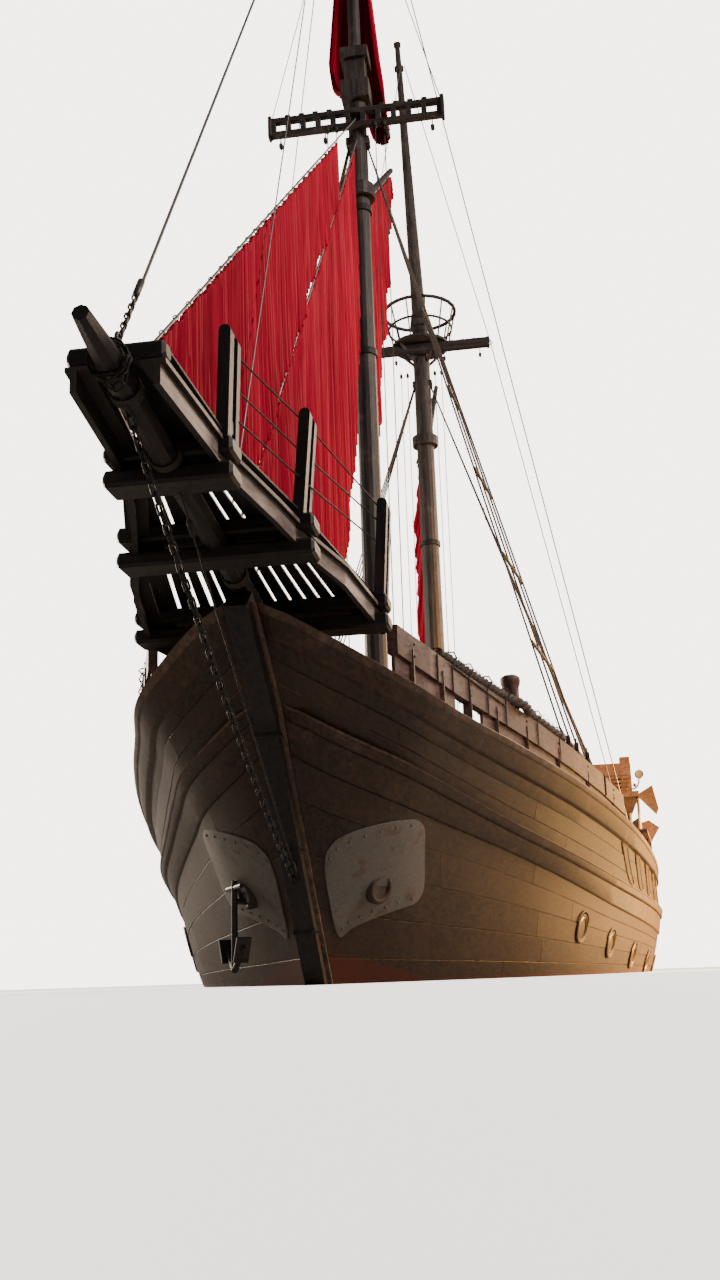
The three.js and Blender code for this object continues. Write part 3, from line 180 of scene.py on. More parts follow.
def hull_wood():
    """Nearly black oiled planks, rubbed brown in places, red anti-fouling at and under the waterline."""
    n = Nodes("hull_planks")
    grain = n.noise((9, 0.55, 9), 2.4, 9.0, 0.64, 0.5)
    fine = n.noise((34, 3, 34), 5.0, 6.0, 0.7)
    patch = n.noise((0.5, 0.35, 0.8), 1.6, 7.0, 0.62)
    color = n.mix(n.spread(grain, 0.36, 0.66), rgb(0.010, 0.007, 0.006), rgb(0.046, 0.026, 0.017))
    shade = n.add("ShaderNodeAttribute", attribute_name="tone").outputs["Fac"]
    color = n.mix(n.spread(shade, 0, 1, 0.0, 0.45), color, rgb(0.050, 0.027, 0.017))
    color = n.mix(n.spread(patch, 0.52, 0.74, 0.0, 0.4), color, rgb(0.062, 0.036, 0.024))
    run = n.spread(n.noise((2.6, 2.6, 0.16), 2.4, 6.0, 0.66), 0.56, 0.80, 0.0, 0.25)
    color = n.mix(run, color, rgb(0.085, 0.058, 0.043))
    scratch = n.spread(n.noise((22, 1.6, 22), 5.0, 9.0, 0.75, 0.8), 0.60, 0.74, 0.0, 0.55)
    color = n.mix(scratch, color, rgb(0.10, 0.062, 0.042))
    rub = n.math("MULTIPLY", n.spread(n.add("ShaderNodeNewGeometry").outputs["Pointiness"], 0.505, 0.54), 0.6)
    color = n.mix(rub, color, rgb(0.14, 0.085, 0.055))
    aft, height_z = (n.add("ShaderNodeSeparateXYZ", {"Vector": n.place}).outputs[axis] for axis in "YZ")
    ragged = n.math("ADD", height_z, n.spread(n.noise((1, 1, 1), 4.0, 6.0), 0, 1, -0.05, 0.05))
    edge = n.math("SUBTRACT", ragged, n.spread(aft, -0.3, 1.36, 0.30, 0.03))
    color = n.mix(n.spread(edge, 0.02, -0.02), color, ANTI_FOULING)
    height = n.math("ADD", n.math("MULTIPLY", grain, 0.6), n.math("MULTIPLY", fine, 0.4))
    return n.finish(color, n.spread(fine, 0.3, 0.75, 0.40, 0.66), n.bump(height, 0.4, 0.006),
                    Specular_IOR_Level=0.26)


def deck_wood():
    """Laid deck with dark seams between narrow planks."""
    n = Nodes("deck_planks")
    brick = n.add("ShaderNodeTexBrick", {
        "Vector": n.scaled((1, 1, 1), (0, 0, math.pi / 2)), "Color1": rgb(0.24, 0.155, 0.09),
        "Color2": rgb(0.16, 0.10, 0.058), "Mortar": rgb(0.012, 0.010, 0.009), "Scale": 1.0,
        "Mortar Size": 0.006, "Brick Width": 2.6, "Row Height": 0.13}, offset=0.37)
    grain = n.noise((9, 0.5, 9), 4.0, 8.0, 0.65, 0.3)
    color = n.mix(n.spread(grain, 0.3, 0.7, 0.0, 0.55), brick.outputs["Color"], rgb(0.09, 0.062, 0.045))
    height = n.math("SUBTRACT", n.math("MULTIPLY", grain, 0.3), brick.outputs["Fac"])
    return n.finish(color, n.spread(grain, 0.3, 0.7, 0.5, 0.8), n.bump(height, 0.5, 0.005))


def sail_cloth():
    """Deep red cloth with a fine weave, faded in patches and darker in long upright streaks."""
    n = Nodes("sail_cloth")
    fade = n.noise((0.5, 1.0, 0.35), 1.3, 6.0, 0.6)
    upright_streak = n.noise((3, 3, 0.3), 2.0, 7.0, 0.65)
    color = n.mix(n.spread(fade, 0.3, 0.7), rgb(0.20, 0.0008, 0.012), rgb(0.36, 0.0015, 0.024))
    # Darker red in long upright streaks
    color = n.mix(n.spread(upright_streak, 0.5, 0.78, 0.0, 0.5), color, rgb(0.11, 0.001, 0.004))
    weave = n.add("ShaderNodeTexWave", {"Vector": n.scaled((1, 1, 1)), "Scale": 210.0,
                                        "Distortion": 1.5, "Detail": 2.0}, bands_direction="Z").outputs["Fac"]
    wrinkle = n.noise((6, 14, 0.5), 3.0, 8.0, 0.6, 0.6)
    height = n.math("ADD", n.math("MULTIPLY", wrinkle, 1.0), n.math("MULTIPLY", weave, 0.05))
    return n.finish(color, n.spread(wrinkle, 0.3, 0.7, 0.78, 0.95), n.bump(height, 0.5, 0.014),
                    Specular_IOR_Level=0.12)


def rope_fibre(name, dark, light, lay=90.0):
    """Laid rope: slanting strands and loose fibres."""
    n = Nodes(name)
    strand = n.add("ShaderNodeTexWave", {
        "Vector": n.scaled((1, 1, 1), (0.5, 0.6, 0.4)), "Scale": lay, "Distortion": 2.0, "Detail": 2.0,
    }).outputs["Fac"]
    hair = n.noise((1, 1, 1), 60.0, 6.0, 0.7)
    color = n.mix(n.spread(strand, 0.2, 0.8), rgb(*dark), rgb(*light))
    color = n.mix(n.spread(hair, 0.4, 0.7, 0, 0.5), color, rgb(*(0.5 * d for d in dark)))
    return n.finish(color, n.spread(hair, 0.3, 0.7, 0.75, 0.95), n.bump(strand, 0.6, 0.006))


def metal(name, base, rust, rusty=0.5, metallic=0.85, rough=(0.35, 0.7)):
    """Metal with rust that gathers in patches and runs."""
    n = Nodes(name)
    patch = n.noise((1, 1, 1), 4.0, 9.0, 0.68)
    run = n.noise((5, 5, 0.5), 3.0, 6.0, 0.6)
    both = n.math("ADD", n.math("MULTIPLY", patch, 0.65), n.math("MULTIPLY", run, 0.35))
    eaten = n.spread(both, 0.62 - 0.2 * rusty, 0.74 - 0.12 * rusty)
    pit = n.noise((1, 1, 1), 45.0, 6.0, 0.7)
    tint = n.mix(n.spread(pit, 0.3, 0.7, 0, 0.5), rgb(*base), rgb(*(0.6 * b for b in base)))
    color = n.mix(eaten, tint, rgb(*rust))
    n.tree.links.new(n.spread(eaten, 0, 1, metallic, 0.1), n.shader.inputs["Metallic"])
    return n.finish(color, n.spread(pit, 0.3, 0.7, *rough), n.bump(n.math("ADD", pit, eaten), 0.3, 0.003))


def paint(name, base, grime, rough=(0.45, 0.65)):
    """Old paint on boards, with grime and chips."""
    n = Nodes(name)
    dirt = n.noise((1, 1, 0.4), 2.4, 8.0, 0.65)
    chip = n.noise((1, 1, 1), 9.0, 8.0, 0.7)
    board = n.add("ShaderNodeTexWave", {"Vector": n.scaled((1, 1, 1)), "Scale": 1.7, "Distortion": 0.0},
                  bands_direction="Z", wave_profile="SAW").outputs["Fac"]
    color = n.mix(n.spread(dirt, 0.42, 0.72, 0, 0.7), rgb(*base), rgb(*grime))
    color = n.mix(n.spread(chip, 0.66, 0.72), color, rgb(0.07, 0.045, 0.032))
    edge = n.spread(board, 0.0, 0.06)
    return n.finish(color, n.spread(dirt, 0.3, 0.7, *rough), n.bump(edge, 0.35, 0.006))


def glass(name, deep, filmed, rough=(0.06, 0.18), shine=0.8):
    """Old panes with a film of salt."""
    n = Nodes(name)
    film = n.noise((1, 1, 1), 3.0, 5.0, 0.6)
    color = n.mix(n.spread(film, 0.3, 0.7), rgb(*deep), rgb(*filmed))
    return n.finish(color, n.spread(film, 0.3, 0.7, *rough), None, Specular_IOR_Level=shine)


# Dark and light grain, then what rubs through
DARK_BEAM = (0.008, 0.006, 0.006), (0.028, 0.021, 0.020)
DARK_POST = (0.009, 0.007, 0.007), (0.032, 0.025, 0.024)
DARK_WORN = {"worn": (0.055, 0.041, 0.037), "wear": 0.35}
SPAR_GRAIN = (0.014, 0.012, 0.012), (0.055, 0.045, 0.042)
SPAR_WORN = (0.16, 0.12, 0.11)

MATERIALS = {
    "hull": hull_wood(),
    "deck": deck_wood(),
    "sail": sail_cloth(),
    "dark_x": wood("dark_timber_x", *DARK_BEAM, "x", **DARK_WORN),
    "dark_y": wood("dark_timber_y", *DARK_BEAM, "y", **DARK_WORN),
    "dark_z": wood("dark_timber_z", *DARK_POST, "z", **DARK_WORN),
    "stem": wood("stem_timber", *DARK_POST, "z", dipped=True, **DARK_WORN),
    "bottom": wood("bottom_timber", (0.042, 0.008, 0.004), (0.080, 0.015, 0.007), "y",
                   worn=(0.060, 0.024, 0.014), wear=0.35),
    "rail": wood("rail_timber", (0.060, 0.030, 0.024), (0.17, 0.095, 0.075), "y", worn=(0.26, 0.165, 0.135)),
    # Pale timber with painted shade: darker on its faces turned down or inboard
    "pale": wood("pale_timber", (0.10, 0.072, 0.062), (0.24, 0.19, 0.17), "y", worn=(0.34, 0.28, 0.25),
                 under=(0.018, 0.014, 0.012)),
    "bundle": rope_fibre("rope_bundle", (0.020, 0.015, 0.013), (0.085, 0.062, 0.050), 55.0),
    "wale": wood("wale_timber", (0.020, 0.012, 0.009), (0.070, 0.038, 0.024), "y",
                 worn=(0.15, 0.09, 0.062), streak=0.2),
    "strip": wood("strip_timber", (0.05, 0.030, 0.022), (0.15, 0.095, 0.070), "y", worn=(0.26, 0.18, 0.14)),
    "mast": wood("mast_timber", (0.018, 0.015, 0.014), (0.070, 0.055, 0.050), "z", worn=SPAR_WORN),
    "spar_x": wood("spar_timber_x", *SPAR_GRAIN, "x", worn=SPAR_WORN),
    "spar_y": wood("spar_timber_y", *SPAR_GRAIN, "y", worn=SPAR_WORN),
    "rope": rope_fibre("rope_tarred", (0.030, 0.024, 0.020), (0.12, 0.095, 0.075)),
    "pale_rope": rope_fibre("rope_pale", (0.22, 0.17, 0.12), (0.46, 0.39, 0.30), 70.0),
    "wire": metal("wire", (0.16, 0.15, 0.14), (0.12, 0.07, 0.05), 0.4, 0.7),
    "iron": metal("iron_rusty", (0.045, 0.040, 0.038), (0.075, 0.034, 0.020), 0.6, 0.6),
    "plate": metal("hawse_metal", (0.15, 0.14, 0.128), (0.085, 0.038, 0.022), 0.5, 0.35, (0.5, 0.75)),
    "rusty": metal("rusty_metal", (0.050, 0.040, 0.034), (0.062, 0.026, 0.014), 0.9, 0.2, (0.65, 0.9)),
    "black": metal("black_metal", (0.012, 0.012, 0.012), (0.06, 0.026, 0.014), 0.4, 0.4, (0.5, 0.8)),
    "bronze": metal("bronze", (0.42, 0.24, 0.09), (0.10, 0.12, 0.08), 0.3, 0.9),
    "brass": metal("brass_rim", (0.30, 0.18, 0.07), (0.12, 0.09, 0.05), 0.35, 0.9, (0.25, 0.5)),
    "paint": paint("cabin_paint", (0.46, 0.36, 0.25), (0.20, 0.14, 0.095)),
    "roof": wood("roof_timber", (0.05, 0.026, 0.018), (0.14, 0.075, 0.05), "y", worn=(0.24, 0.15, 0.11)),
    "glass": glass("window_glass", (0.020, 0.022, 0.024), (0.05, 0.045, 0.038)),
    "shade": glass("port_glass", (0.010, 0.006, 0.005), (0.034, 0.020, 0.013), (0.35, 0.55), 0.3),
}

# Material of each CAD node, by the start of its name
NODE_MATERIAL = {
    "hull": "hull", "bulwark": "hull", "wale": "wale", "keel": "bottom", "stem": "stem",
    "main_deck": "deck", "rail_fore": "rail", "rail_aft": "rail", "bowsprit": "dark_y",
    "beak_platform": "dark_x", "beak_rail": "pale", "beak_post": "dark_z", "hawse_plate": "plate",
    "bobstay_chain": "iron", "anchor": "iron", "fore_mast": "mast", "main_mast": "mast",
    "fore_topmast": "mast", "main_topmast": "mast", "fore_crosstree": "spar_x", "main_crosstree": "spar_x",
    "crows_nest": "spar_x", "fore_gaff": "spar_y", "main_gaff": "spar_y", "fore_shrouds": "rope",
    "main_shrouds": "rope", "jib_stay": "wire", "inner_stay": "wire", "topmast_stay": "wire",
    "rudder": "bottom", "propeller": "bronze", "house_door": "rail", "house_roof": "roof",
    "house": "paint", "bridge_parapet": "rail", "wheelhouse_roof": "roof", "wheelhouse_walls": "paint",
    "foresail": "sail", "mainsail": "sail", "fore_topsail": "sail", "outer_jib": "sail",
    "inner_staysail": "sail",
}
for node_name, node in NODES.items():
    kind = max((k for k in NODE_MATERIAL if node_name.startswith(k)), key=len)
    node.data.materials.clear()
    node.data.materials.append(MATERIALS[NODE_MATERIAL[kind]])


# Mesh helpers. A body is (points, faces); several bodies join into one mesh
def merged(bodies):
    """Several bodies as one list of points and one of faces."""
    points, faces = [], []
    for own_points, own_faces in bodies:
        start = len(points)
        points.extend(own_points)
        faces.extend([tuple(i + start for i in face) for face in own_faces])
    return points, faces


def piece(name, bodies, material, body=SHIP, smooth=False, replaces=(), tones=None):
    """One object of the scene, made of bodies; tones gives each body its own shade."""
    points, faces = merged(bodies)
    mesh = bpy.data.meshes.new(name)
    mesh.from_pydata([tuple(p) for p in points], [], faces)
    mesh.materials.append(MATERIALS[material])
    mesh.validate()
    if smooth:
        mesh.shade_smooth()
        mesh.set_sharp_from_angle(angle=math.radians(38))
    if tones is not None:
        values = np.concatenate([np.full(len(b[0]), t, np.float32) for b, t in zip(bodies, tones)])
        mesh.attributes.new("tone", "FLOAT", "POINT").data.foreach_set("value", values)
    made = bpy.data.objects.new(name, mesh)
    bpy.context.scene.collection.objects.link(made)
    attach(made, body)
    if replaces:
        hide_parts(*replaces)
    return made


def loft(rings):
    """A body through rings of points, with its ends closed."""
    count = len(rings[0])
    last = (len(rings) - 1) * count
    points = [p for ring in rings for p in ring]
    faces = []
    for start in range(0, last, count):
        for j in range(count):
            a, b = start + j, start + (j + 1) % count
            faces.append((a, b, b + count, a + count))
    faces.append(tuple(range(count - 1, -1, -1)))
    faces.append(tuple(range(last, last + count)))
    return points, faces


def circle(across, other, sides):
    """Directions all round a circle, from across toward other."""
    angles = [2 * math.pi * k / sides for k in range(sides)]
    return [math.cos(a) * across + math.sin(a) * other for a in angles]


def tube(line, radius, sides=8, closed=False):
    """A round bar along a line of points, with one radius or one for each point."""
    line = [Vector(p) for p in line]
    radii = radius if isinstance(radius, (list, tuple)) else [radius] * len(line)
    across = None
    rings = []
    for i, point in enumerate(line):
        if closed:
            along = (line[(i + 1) % len(line)] - line[i - 1]).normalized()
        else:
            along = (line[min(i + 1, len(line) - 1)] - line[max(i - 1, 0)]).normalized()
        if across is None:
            across = along.orthogonal().normalized()
        across = (across - along * across.dot(along)).normalized()
        rings.append([point + radii[i] * way for way in circle(across, along.cross(across), sides)])
    if not closed:
        return loft(rings)
    count = len(rings)
    points = [p for ring in rings for p in ring]
    faces = [(i * sides + j, i * sides + (j + 1) % sides, ((i + 1) % count) * sides + (j + 1) % sides,
              ((i + 1) % count) * sides + j) for i in range(count) for j in range(sides)]
    return points, faces


def block(x0, x1, y0, y1, z0, z1, chamfer=0.008):
    """A box with chamfered long edges, between two corners."""
    return beam((x0 + x1) / 2, y0, y1, (z0 + z1) / 2, x1 - x0, z1 - z0, chamfer)


def beam(x, y0, y1, z, wide, deep, chamfer):
    """A chamfered timber that runs aft from y0 to y1."""
    cut = min(chamfer, wide / 3, deep / 3, (y1 - y0) / 3)
    corners = ((1, 1, cut, 0), (-1, 1, cut, 0), (-1, 1, 0, cut), (-1, -1, 0, cut),
               (-1, -1, cut, 0), (1, -1, cut, 0), (1, -1, 0, cut), (1, 1, 0, cut))

    def ring(y, less):
        return [Vector((x + side * (wide / 2 - less - in_x), y, z + up * (deep / 2 - less - in_z)))
                for side, up, in_x, in_z in corners]
    return loft([ring(y0, cut), ring(y0 + cut, 0), ring(y1 - cut, 0), ring(y1, cut)])


def turned(body, matrix):
    """A body moved by a matrix."""
    return [matrix @ Vector(p) for p in body[0]], body[1]


def between(start, end, wide, deep):
    """A chamfered timber from one point to another, its width kept level."""
    chamfer = 0.006
    start, end = Vector(start), Vector(end)
    along = (end - start).normalized()
    side = along.cross(Vector(Z_AXIS))
    side = side.normalized() if side.length > 1e-6 else Vector(X_AXIS)
    up = side.cross(along)
    basis = Matrix((side, along, up)).transposed().to_4x4()
    return turned(beam(0, 0, (end - start).length, 0, wide, deep, chamfer), Matrix.Translation(start) @ basis)


def mirrored(body):
    """A body carried over to the ship's other side."""
    return [Vector((-p[0], p[1], p[2])) for p in body[0]], [tuple(reversed(f)) for f in body[1]]


def lathe(profile, place, axis, sides=16):
    """A turned body: profile is a list of (radius, distance along the axis)."""
    axis = Vector(axis).normalized()
    across = axis.orthogonal().normalized()
    ways = circle(across, axis.cross(across), sides)
    return loft([[Vector(place) + axis * along + radius * way for way in ways] for radius, along in profile])


def hoop(place, axis, radius, thick, sides=24, around=8, squash=1.0):
    """A round or oval ring; squash is its height over its width.

    A ring with an upright axis has no height, and shrinks to a point in its middle.
    """
    axis = Vector(axis).normalized()
    up = (Vector(Z_AXIS) - axis * axis.z).normalized()
    across = up.cross(axis)
    line = [Vector(place) + radius * way for way in circle(across, squash * up, sides)]
    return tube(line, thick, around, closed=True)


def link_chain(points, long, wide, thick):
    """Oval links along a line, each turned a quarter from the one before."""
    points = [Vector(p) for p in points]
    lengths = np.cumsum([0.0] + [(b - a).length for a, b in zip(points, points[1:])])
    count = max(2, int(lengths[-1] / (long - 2 * thick)))
    bodies = []
    for i in range(count):
        ends = [Vector([np.interp(lengths[-1] * (i + t) / count, lengths, [p[k] for p in points])
                        for k in range(3)]) for t in (0, 1)]
        along = (ends[1] - ends[0]).normalized()
        side = along.orthogonal().normalized()
        if i % 2:
            side = along.cross(side)
        half, turn = long / 2 - wide / 2, wide / 2 - thick / 2
        middle = (ends[0] + ends[1]) / 2
        line = []
        for k in range(12):
            angle = 2 * math.pi * (k + 0.5) / 12
            shift = half if math.cos(angle) > 0 else -half
            line.append(middle + along * (shift + turn * math.cos(angle)) + side * turn * math.sin(angle))
        bodies.append(tube(line, thick / 2, 6, closed=True))
    return bodies


def lashing(place, axis, radius, turns, thick):
    """Turns of rope laid side by side round a spar."""
    axis = Vector(axis).normalized()
    apart = 2.3 * thick
    return [hoop(Vector(place) + axis * apart * (i - (turns - 1) / 2), axis, radius, thick, 20, 6)
            for i in range(turns)]


def pulley(place, size=0.11):
    """A wooden block with its sheave, in a rope strop."""
    x, y, z = place
    shell = [lathe([(0.004, -0.03), (size * 0.36, -0.03), (size * 0.44, -0.02), (size * 0.44, 0.02),
                    (size * 0.36, 0.03), (0.004, 0.03)], (x, y, z), X_AXIS, 12)]
    return shell + [hoop((x, y, z + size * 0.1), X_AXIS, size * 0.52, 0.008, 18, 6, 1.25)]


SURFACES = {}


def hit(node, start, toward):
    """Where a ray meets a CAD node."""
    if node not in SURFACES:
        made = NODES[node]
        SURFACES[node] = BVHTree.FromPolygons([made.matrix_world @ v.co for v in made.data.vertices],
                                              [p.vertices for p in made.data.polygons])
    return SURFACES[node].ray_cast(Vector(start), Vector(toward).normalized())[0]


def top_of(node, x, y):
    """Height of a CAD node's top at a place."""
    return hit(node, (x, y, 12), (0, 0, -1)).z


def on_deck(x, y):
    """Height of the main deck at a place."""
    return top_of("main_deck", x, y)


def on_both(name, bodies, material, smooth=False, replaces=None, tones=None):
    """A piece for each side of the ship, drawn to port."""
    for side, way in SIDES.items():
        own = bodies if way == 1 else [mirrored(b) for b in bodies]
        nodes = [f"{replaces}_{side}"] if replaces else ()
        piece(f"{name}_{side}", own, material, smooth=smooth, replaces=nodes, tones=tones)


# The hull's guide lines, in millimetres: half-breadth, distance aft, height at each station
GUIDES = [
    [(130, 2000, -1500), (130, 2600, -1700), (130, 3400, -1850), (130, 4200, -1950),
     (130, 5400, -2000), (130, 7000, -2000), (130, 10000, -2000), (130, 12500, -2000),
     (130, 15500, -2000), (130, 18500, -1900), (130, 21500, -1450), (130, 24200, -600)],
    [(130, 850, -800), (270, 1300, -850), (520, 2000, -900), (820, 2800, -950),
     (1180, 3700, -1000), (1750, 5200, -1050), (2500, 8000, -1150), (3050, 10800, -1200),
     (3450, 14200, -1250), (3300, 17800, -1150), (2400, 21400, -750), (1200, 24600, -150)],
    [(130, 0, 0), (330, 350, 0), (660, 900, 0), (1050, 1550, 0),
     (1500, 2350, 0), (2150, 3700, 0), (2920, 6200, 0), (3520, 9200, 0),
     (3980, 13500, 0), (3960, 17500, 20), (3480, 21400, 80), (2400, 25000, 300)],
    [(130, -1880, 2020), (420, -1600, 1870), (900, -900, 1690), (1300, 100, 1560),
     (1750, 1250, 1420), (2380, 3000, 1200), (3100, 5800, 940), (3740, 9000, 760),
     (4180, 13500, 700), (4230, 17500, 820), (4000, 21600, 1120), (3430, 25550, 1650)],
    [(130, -2230, 2410), (480, -1900, 2230), (1000, -1200, 2020), (1400, -200, 1860),
     (1840, 1000, 1680), (2500, 2900, 1460), (3180, 5800, 1290), (3830, 9300, 1160),
     (4230, 13500, 1120), (4290, 17500, 1250), (4100, 21700, 1600), (3580, 25800, 2180)],
    [(130, -3150, 3100), (600, -2750, 2870), (1170, -2000, 2610), (1600, -800, 2480),
     (2050, 500, 2390), (2700, 2700, 2260), (3400, 5800, 2080), (3900, 9500, 1940),
     (4200, 13500, 1900), (4250, 17500, 2060), (4100, 21800, 2460), (3650, 26000, 3120)],
]
GUIDES = [np.array(line, float) for line in GUIDES]
STATIONS = 12
U_LAST = STATIONS - 1
BAND_V, WALE_V, DECK_V, SHEER_V = 3, 4, 4.5, 5
LOWER_WALE_FOOT, UPPER_WALE_FOOT = 3.72, 4.68
BULWARK_THICK = 0.110
MM = 0.001


def on_curve(points, share):
    """A point of the smooth curve through the points, as the hull's own curves run."""
    last = len(points) - 1
    at = last * share
    i = min(int(at), last - 1)
    w = at - i
    p1, p2 = points[i], points[i + 1]
    p0 = points[i - 1] if i > 0 else 2 * p1 - p2
    p3 = points[i + 2] if i + 2 <= last else 2 * p2 - p1
    d0, d1, d2 = (max(((b - a) ** 2).sum() ** 0.25, 1e-4) for a, b in ((p0, p1), (p1, p2), (p2, p3)))
    t1 = ((p1 - p0) / d0 - (p2 - p0) / (d0 + d1) + (p2 - p1) / d1) * d1
    t2 = ((p2 - p1) / d1 - (p3 - p1) / (d1 + d2) + (p3 - p2) / d2) * d1
    return p1 + t1 * w + (3 * (p2 - p1) - 2 * t1 - t2) * w * w + (2 * (p1 - p2) + t1 + t2) * w ** 3


SECTIONS = {}


def planking(u, v):
    """A point of the hull's port side, at station u and guide line v."""
    key = round(u, 4)
    if key not in SECTIONS:
        SECTIONS[key] = np.array([on_curve(line, key / U_LAST) for line in GUIDES])
    return Vector(on_curve(SECTIONS[key], v / SHEER_V)) * MM


def outward(u, v):
    """The planking's own direction out, on the port side."""
    along = planking(min(u + 0.03, U_LAST), v) - planking(max(u - 0.03, 0), v)
    up = planking(u, min(v + 0.03, SHEER_V)) - planking(u, max(v - 0.03, 0))
    return along.cross(up).normalized()


def at_length(y, v):
    """The station where guide line v is at distance y aft."""
    low, high = 0.0, float(U_LAST)
    for _ in range(30):
        middle = (low + high) / 2
        if planking(middle, v).y < y:
            low = middle
        else:
            high = middle
    return round((low + high) / 2, 3)


def steps(first, last, size):
    """Even steps of about a size, both ends included."""
    count = max(2, round((last - first) / size) + 1)
    return [first + (last - first) * i / (count - 1) for i in range(count)]


def plank(u0, u1, v0, v1):
    """One plank on the hull, with eased edges, from station u0 to u1."""
    proud, gap, sunk = 0.010, 0.003, 0.05
    rings = []
    for u in steps(u0, u1, 0.2 if u0 < 3 else 0.3):
        low, high = planking(u, v0), planking(u, v1)
        out_low, out_high = outward(u, v0), outward(u, v1)
        middle, out = planking(u, (v0 + v1) / 2), outward(u, (v0 + v1) / 2)
        rise = (high - low).normalized()
        rings.append([low + rise * gap - out_low * sunk, low + rise * gap + out_low * (proud - 0.004),
                      low + rise * (gap + 0.005) + out_low * proud, middle + out * proud,
                      high - rise * (gap + 0.005) + out_high * proud,
                      high - rise * gap + out_high * (proud - 0.004), high - rise * gap - out_high * sunk])
    return loft(rings)


# Lower and upper guide line of each strake, under the lower wale and over it
STRAKES = [(0.1, 0.4), (0.4, 0.7), (0.7, 1.0), (1.0, 1.25), (1.25, 1.5), (1.5, 1.72), (1.72, 1.94),
           (1.94, 2.15), (2.15, 2.36), (2.36, 2.57), (2.57, 2.78), (2.78, 3.0), (4.0, 4.25), (4.25, 4.5)]
PLANK_LENGTHS = (1.7, 3.0)
SHORTEST_PLANK = 0.6


def hull_planks():
    """Planks of random length along every strake, each with its own shade."""
    draw = random.Random(11)
    bodies, tones = [], []
    for v0, v1 in STRAKES:
        u = 0.03
        ends = [u]
        while u < U_LAST:
            u += draw.uniform(*PLANK_LENGTHS)
            ends.append(min(u, U_LAST))
        if ends[-1] - ends[-2] < SHORTEST_PLANK:
            ends.pop(-2)
        for u0, u1 in zip(ends, ends[1:]):
            bodies.append(plank(u0, u1 - (0.004 if u1 < U_LAST else 0), v0, v1))
            tones.append(draw.random())
    return bodies, tones


plank_bodies, plank_tones = hull_planks()
on_both("hull_planks", plank_bodies, "hull", smooth=True, tones=plank_tones)


def eased(ring, size):
    """A ring of points with each corner cut back a little."""
    out = []
    for i, point in enumerate(ring):
        before, after = ring[i - 1], ring[(i + 1) % len(ring)]
        for other in (before, after):
            reach = min(size, (other - point).length * 0.35)
            out.append(point + (other - point).normalized() * reach)
    return out


def strake(section, first=0.03, last=U_LAST, size=0.014):
    """A strake on the hull, with its section a list of (line, distance out)."""
    highest = max(v for v, _ in section)
    rings = []
    for u in steps(first, last, 0.125):
        ahead, behind = planking(max(u - 0.05, 0), highest), planking(min(u + 0.05, U_LAST), highest)
        out = Vector((behind.y - ahead.y, ahead.x - behind.x, 0)).normalized()
        thin = min(1.0, 0.2 + 0.8 * (u - first) / 0.4)
        rings.append(eased([planking(u, v) + out * (distance * thin if distance > 0 else distance)
                            for v, distance in section], size))
    return loft(rings)


def wales():
    """The upper wale with its pale top strip, and the lower wale over its broad band."""
    upper = strake([(UPPER_WALE_FOOT, -0.02), (SHEER_V, -0.02), (SHEER_V, 0.070), (UPPER_WALE_FOOT, 0.070)])
    edge = strake([(4.90, 0.05), (4.995, 0.05), (4.995, 0.092), (4.90, 0.092)], size=0.012)
    lower = strake([(LOWER_WALE_FOOT, -0.02), (WALE_V, -0.02), (WALE_V, 0.072), (LOWER_WALE_FOOT, 0.072)])
    lip = strake([(3.955, 0.06), (4.005, 0.06), (4.005, 0.084), (3.955, 0.084)], size=0.008)
    band = strake([(BAND_V, -0.02), (LOWER_WALE_FOOT, -0.02), (LOWER_WALE_FOOT, 0.038), (BAND_V, 0.038)])
    on_both("upper_wale", [upper], "wale", smooth=True, replaces="wale_upper")
    on_both("lower_wale", [lower, band], "wale", smooth=True, replaces="wale_lower")
    on_both("wale_strips", [edge, lip], "strip", smooth=True)


wales()


def bulwark_skin():
    """The bulwark's planking, inside and out."""
    rings = []
    for u in steps(0.06, U_LAST, 0.125):
        foot, top = planking(u, DECK_V), planking(u, SHEER_V)
        rings.append(eased([foot + Vector((0, 0, 0.001)), planking(u, UPPER_WALE_FOOT), top,
                            top - Vector((BULWARK_THICK, 0, 0)),
                            foot + Vector((-BULWARK_THICK, 0, 0.008))], 0.008))
    return loft(rings)


def bulwark_frames():
    """Stanchions along the bulwark's inner face."""
    bodies = []
    for u in steps(2.6, U_LAST - 0.15, 0.28):
        foot, top = planking(u, DECK_V), planking(u, SHEER_V)
        x_foot, x_top = foot.x - BULWARK_THICK - 0.04, top.x - BULWARK_THICK - 0.04
        bodies.append(between((x_foot, foot.y, foot.z), (x_top, top.y, top.z - 0.02), 0.09, 0.09))
    return bodies


on_both("bulwark_planks", [bulwark_skin()], "hull", smooth=True, replaces="bulwark")
on_both("bulwark_frames", bulwark_frames(), "rail")


def transom_planks():
    """Level boards across the stern."""
    gap, proud, sunk = 0.006, 0.012, 0.05
    bodies = []
    edges = [0.4 + 0.23 * i for i in range(21)]
    for v0, v1 in zip(edges, edges[1:]):
        low, high = planking(U_LAST, v0), planking(U_LAST, v1)
        corner = [Vector((low.x, low.y, low.z + gap)), Vector((high.x, high.y, high.z - gap)),
                  Vector((-high.x, high.y, high.z - gap)), Vector((-low.x, low.y, low.z + gap))]
        bodies.append(loft([[p - Vector((0, sunk, 0)) for p in corner],
                            [p + Vector((0, proud, 0)) for p in corner]]))
    return bodies


piece("transom_planks", transom_planks(), "hull")


# Sails
CLOTH_THICK = 0.004


def apply_modifiers(made):
    """An object's modifiers, worked into its mesh."""
    bpy.context.view_layer.update()
    depsgraph = bpy.context.evaluated_depsgraph_get()
    mesh = bpy.data.meshes.new_from_object(made.evaluated_get(depsgraph), depsgraph=depsgraph)
    made.modifiers.clear()
    made.data = mesh


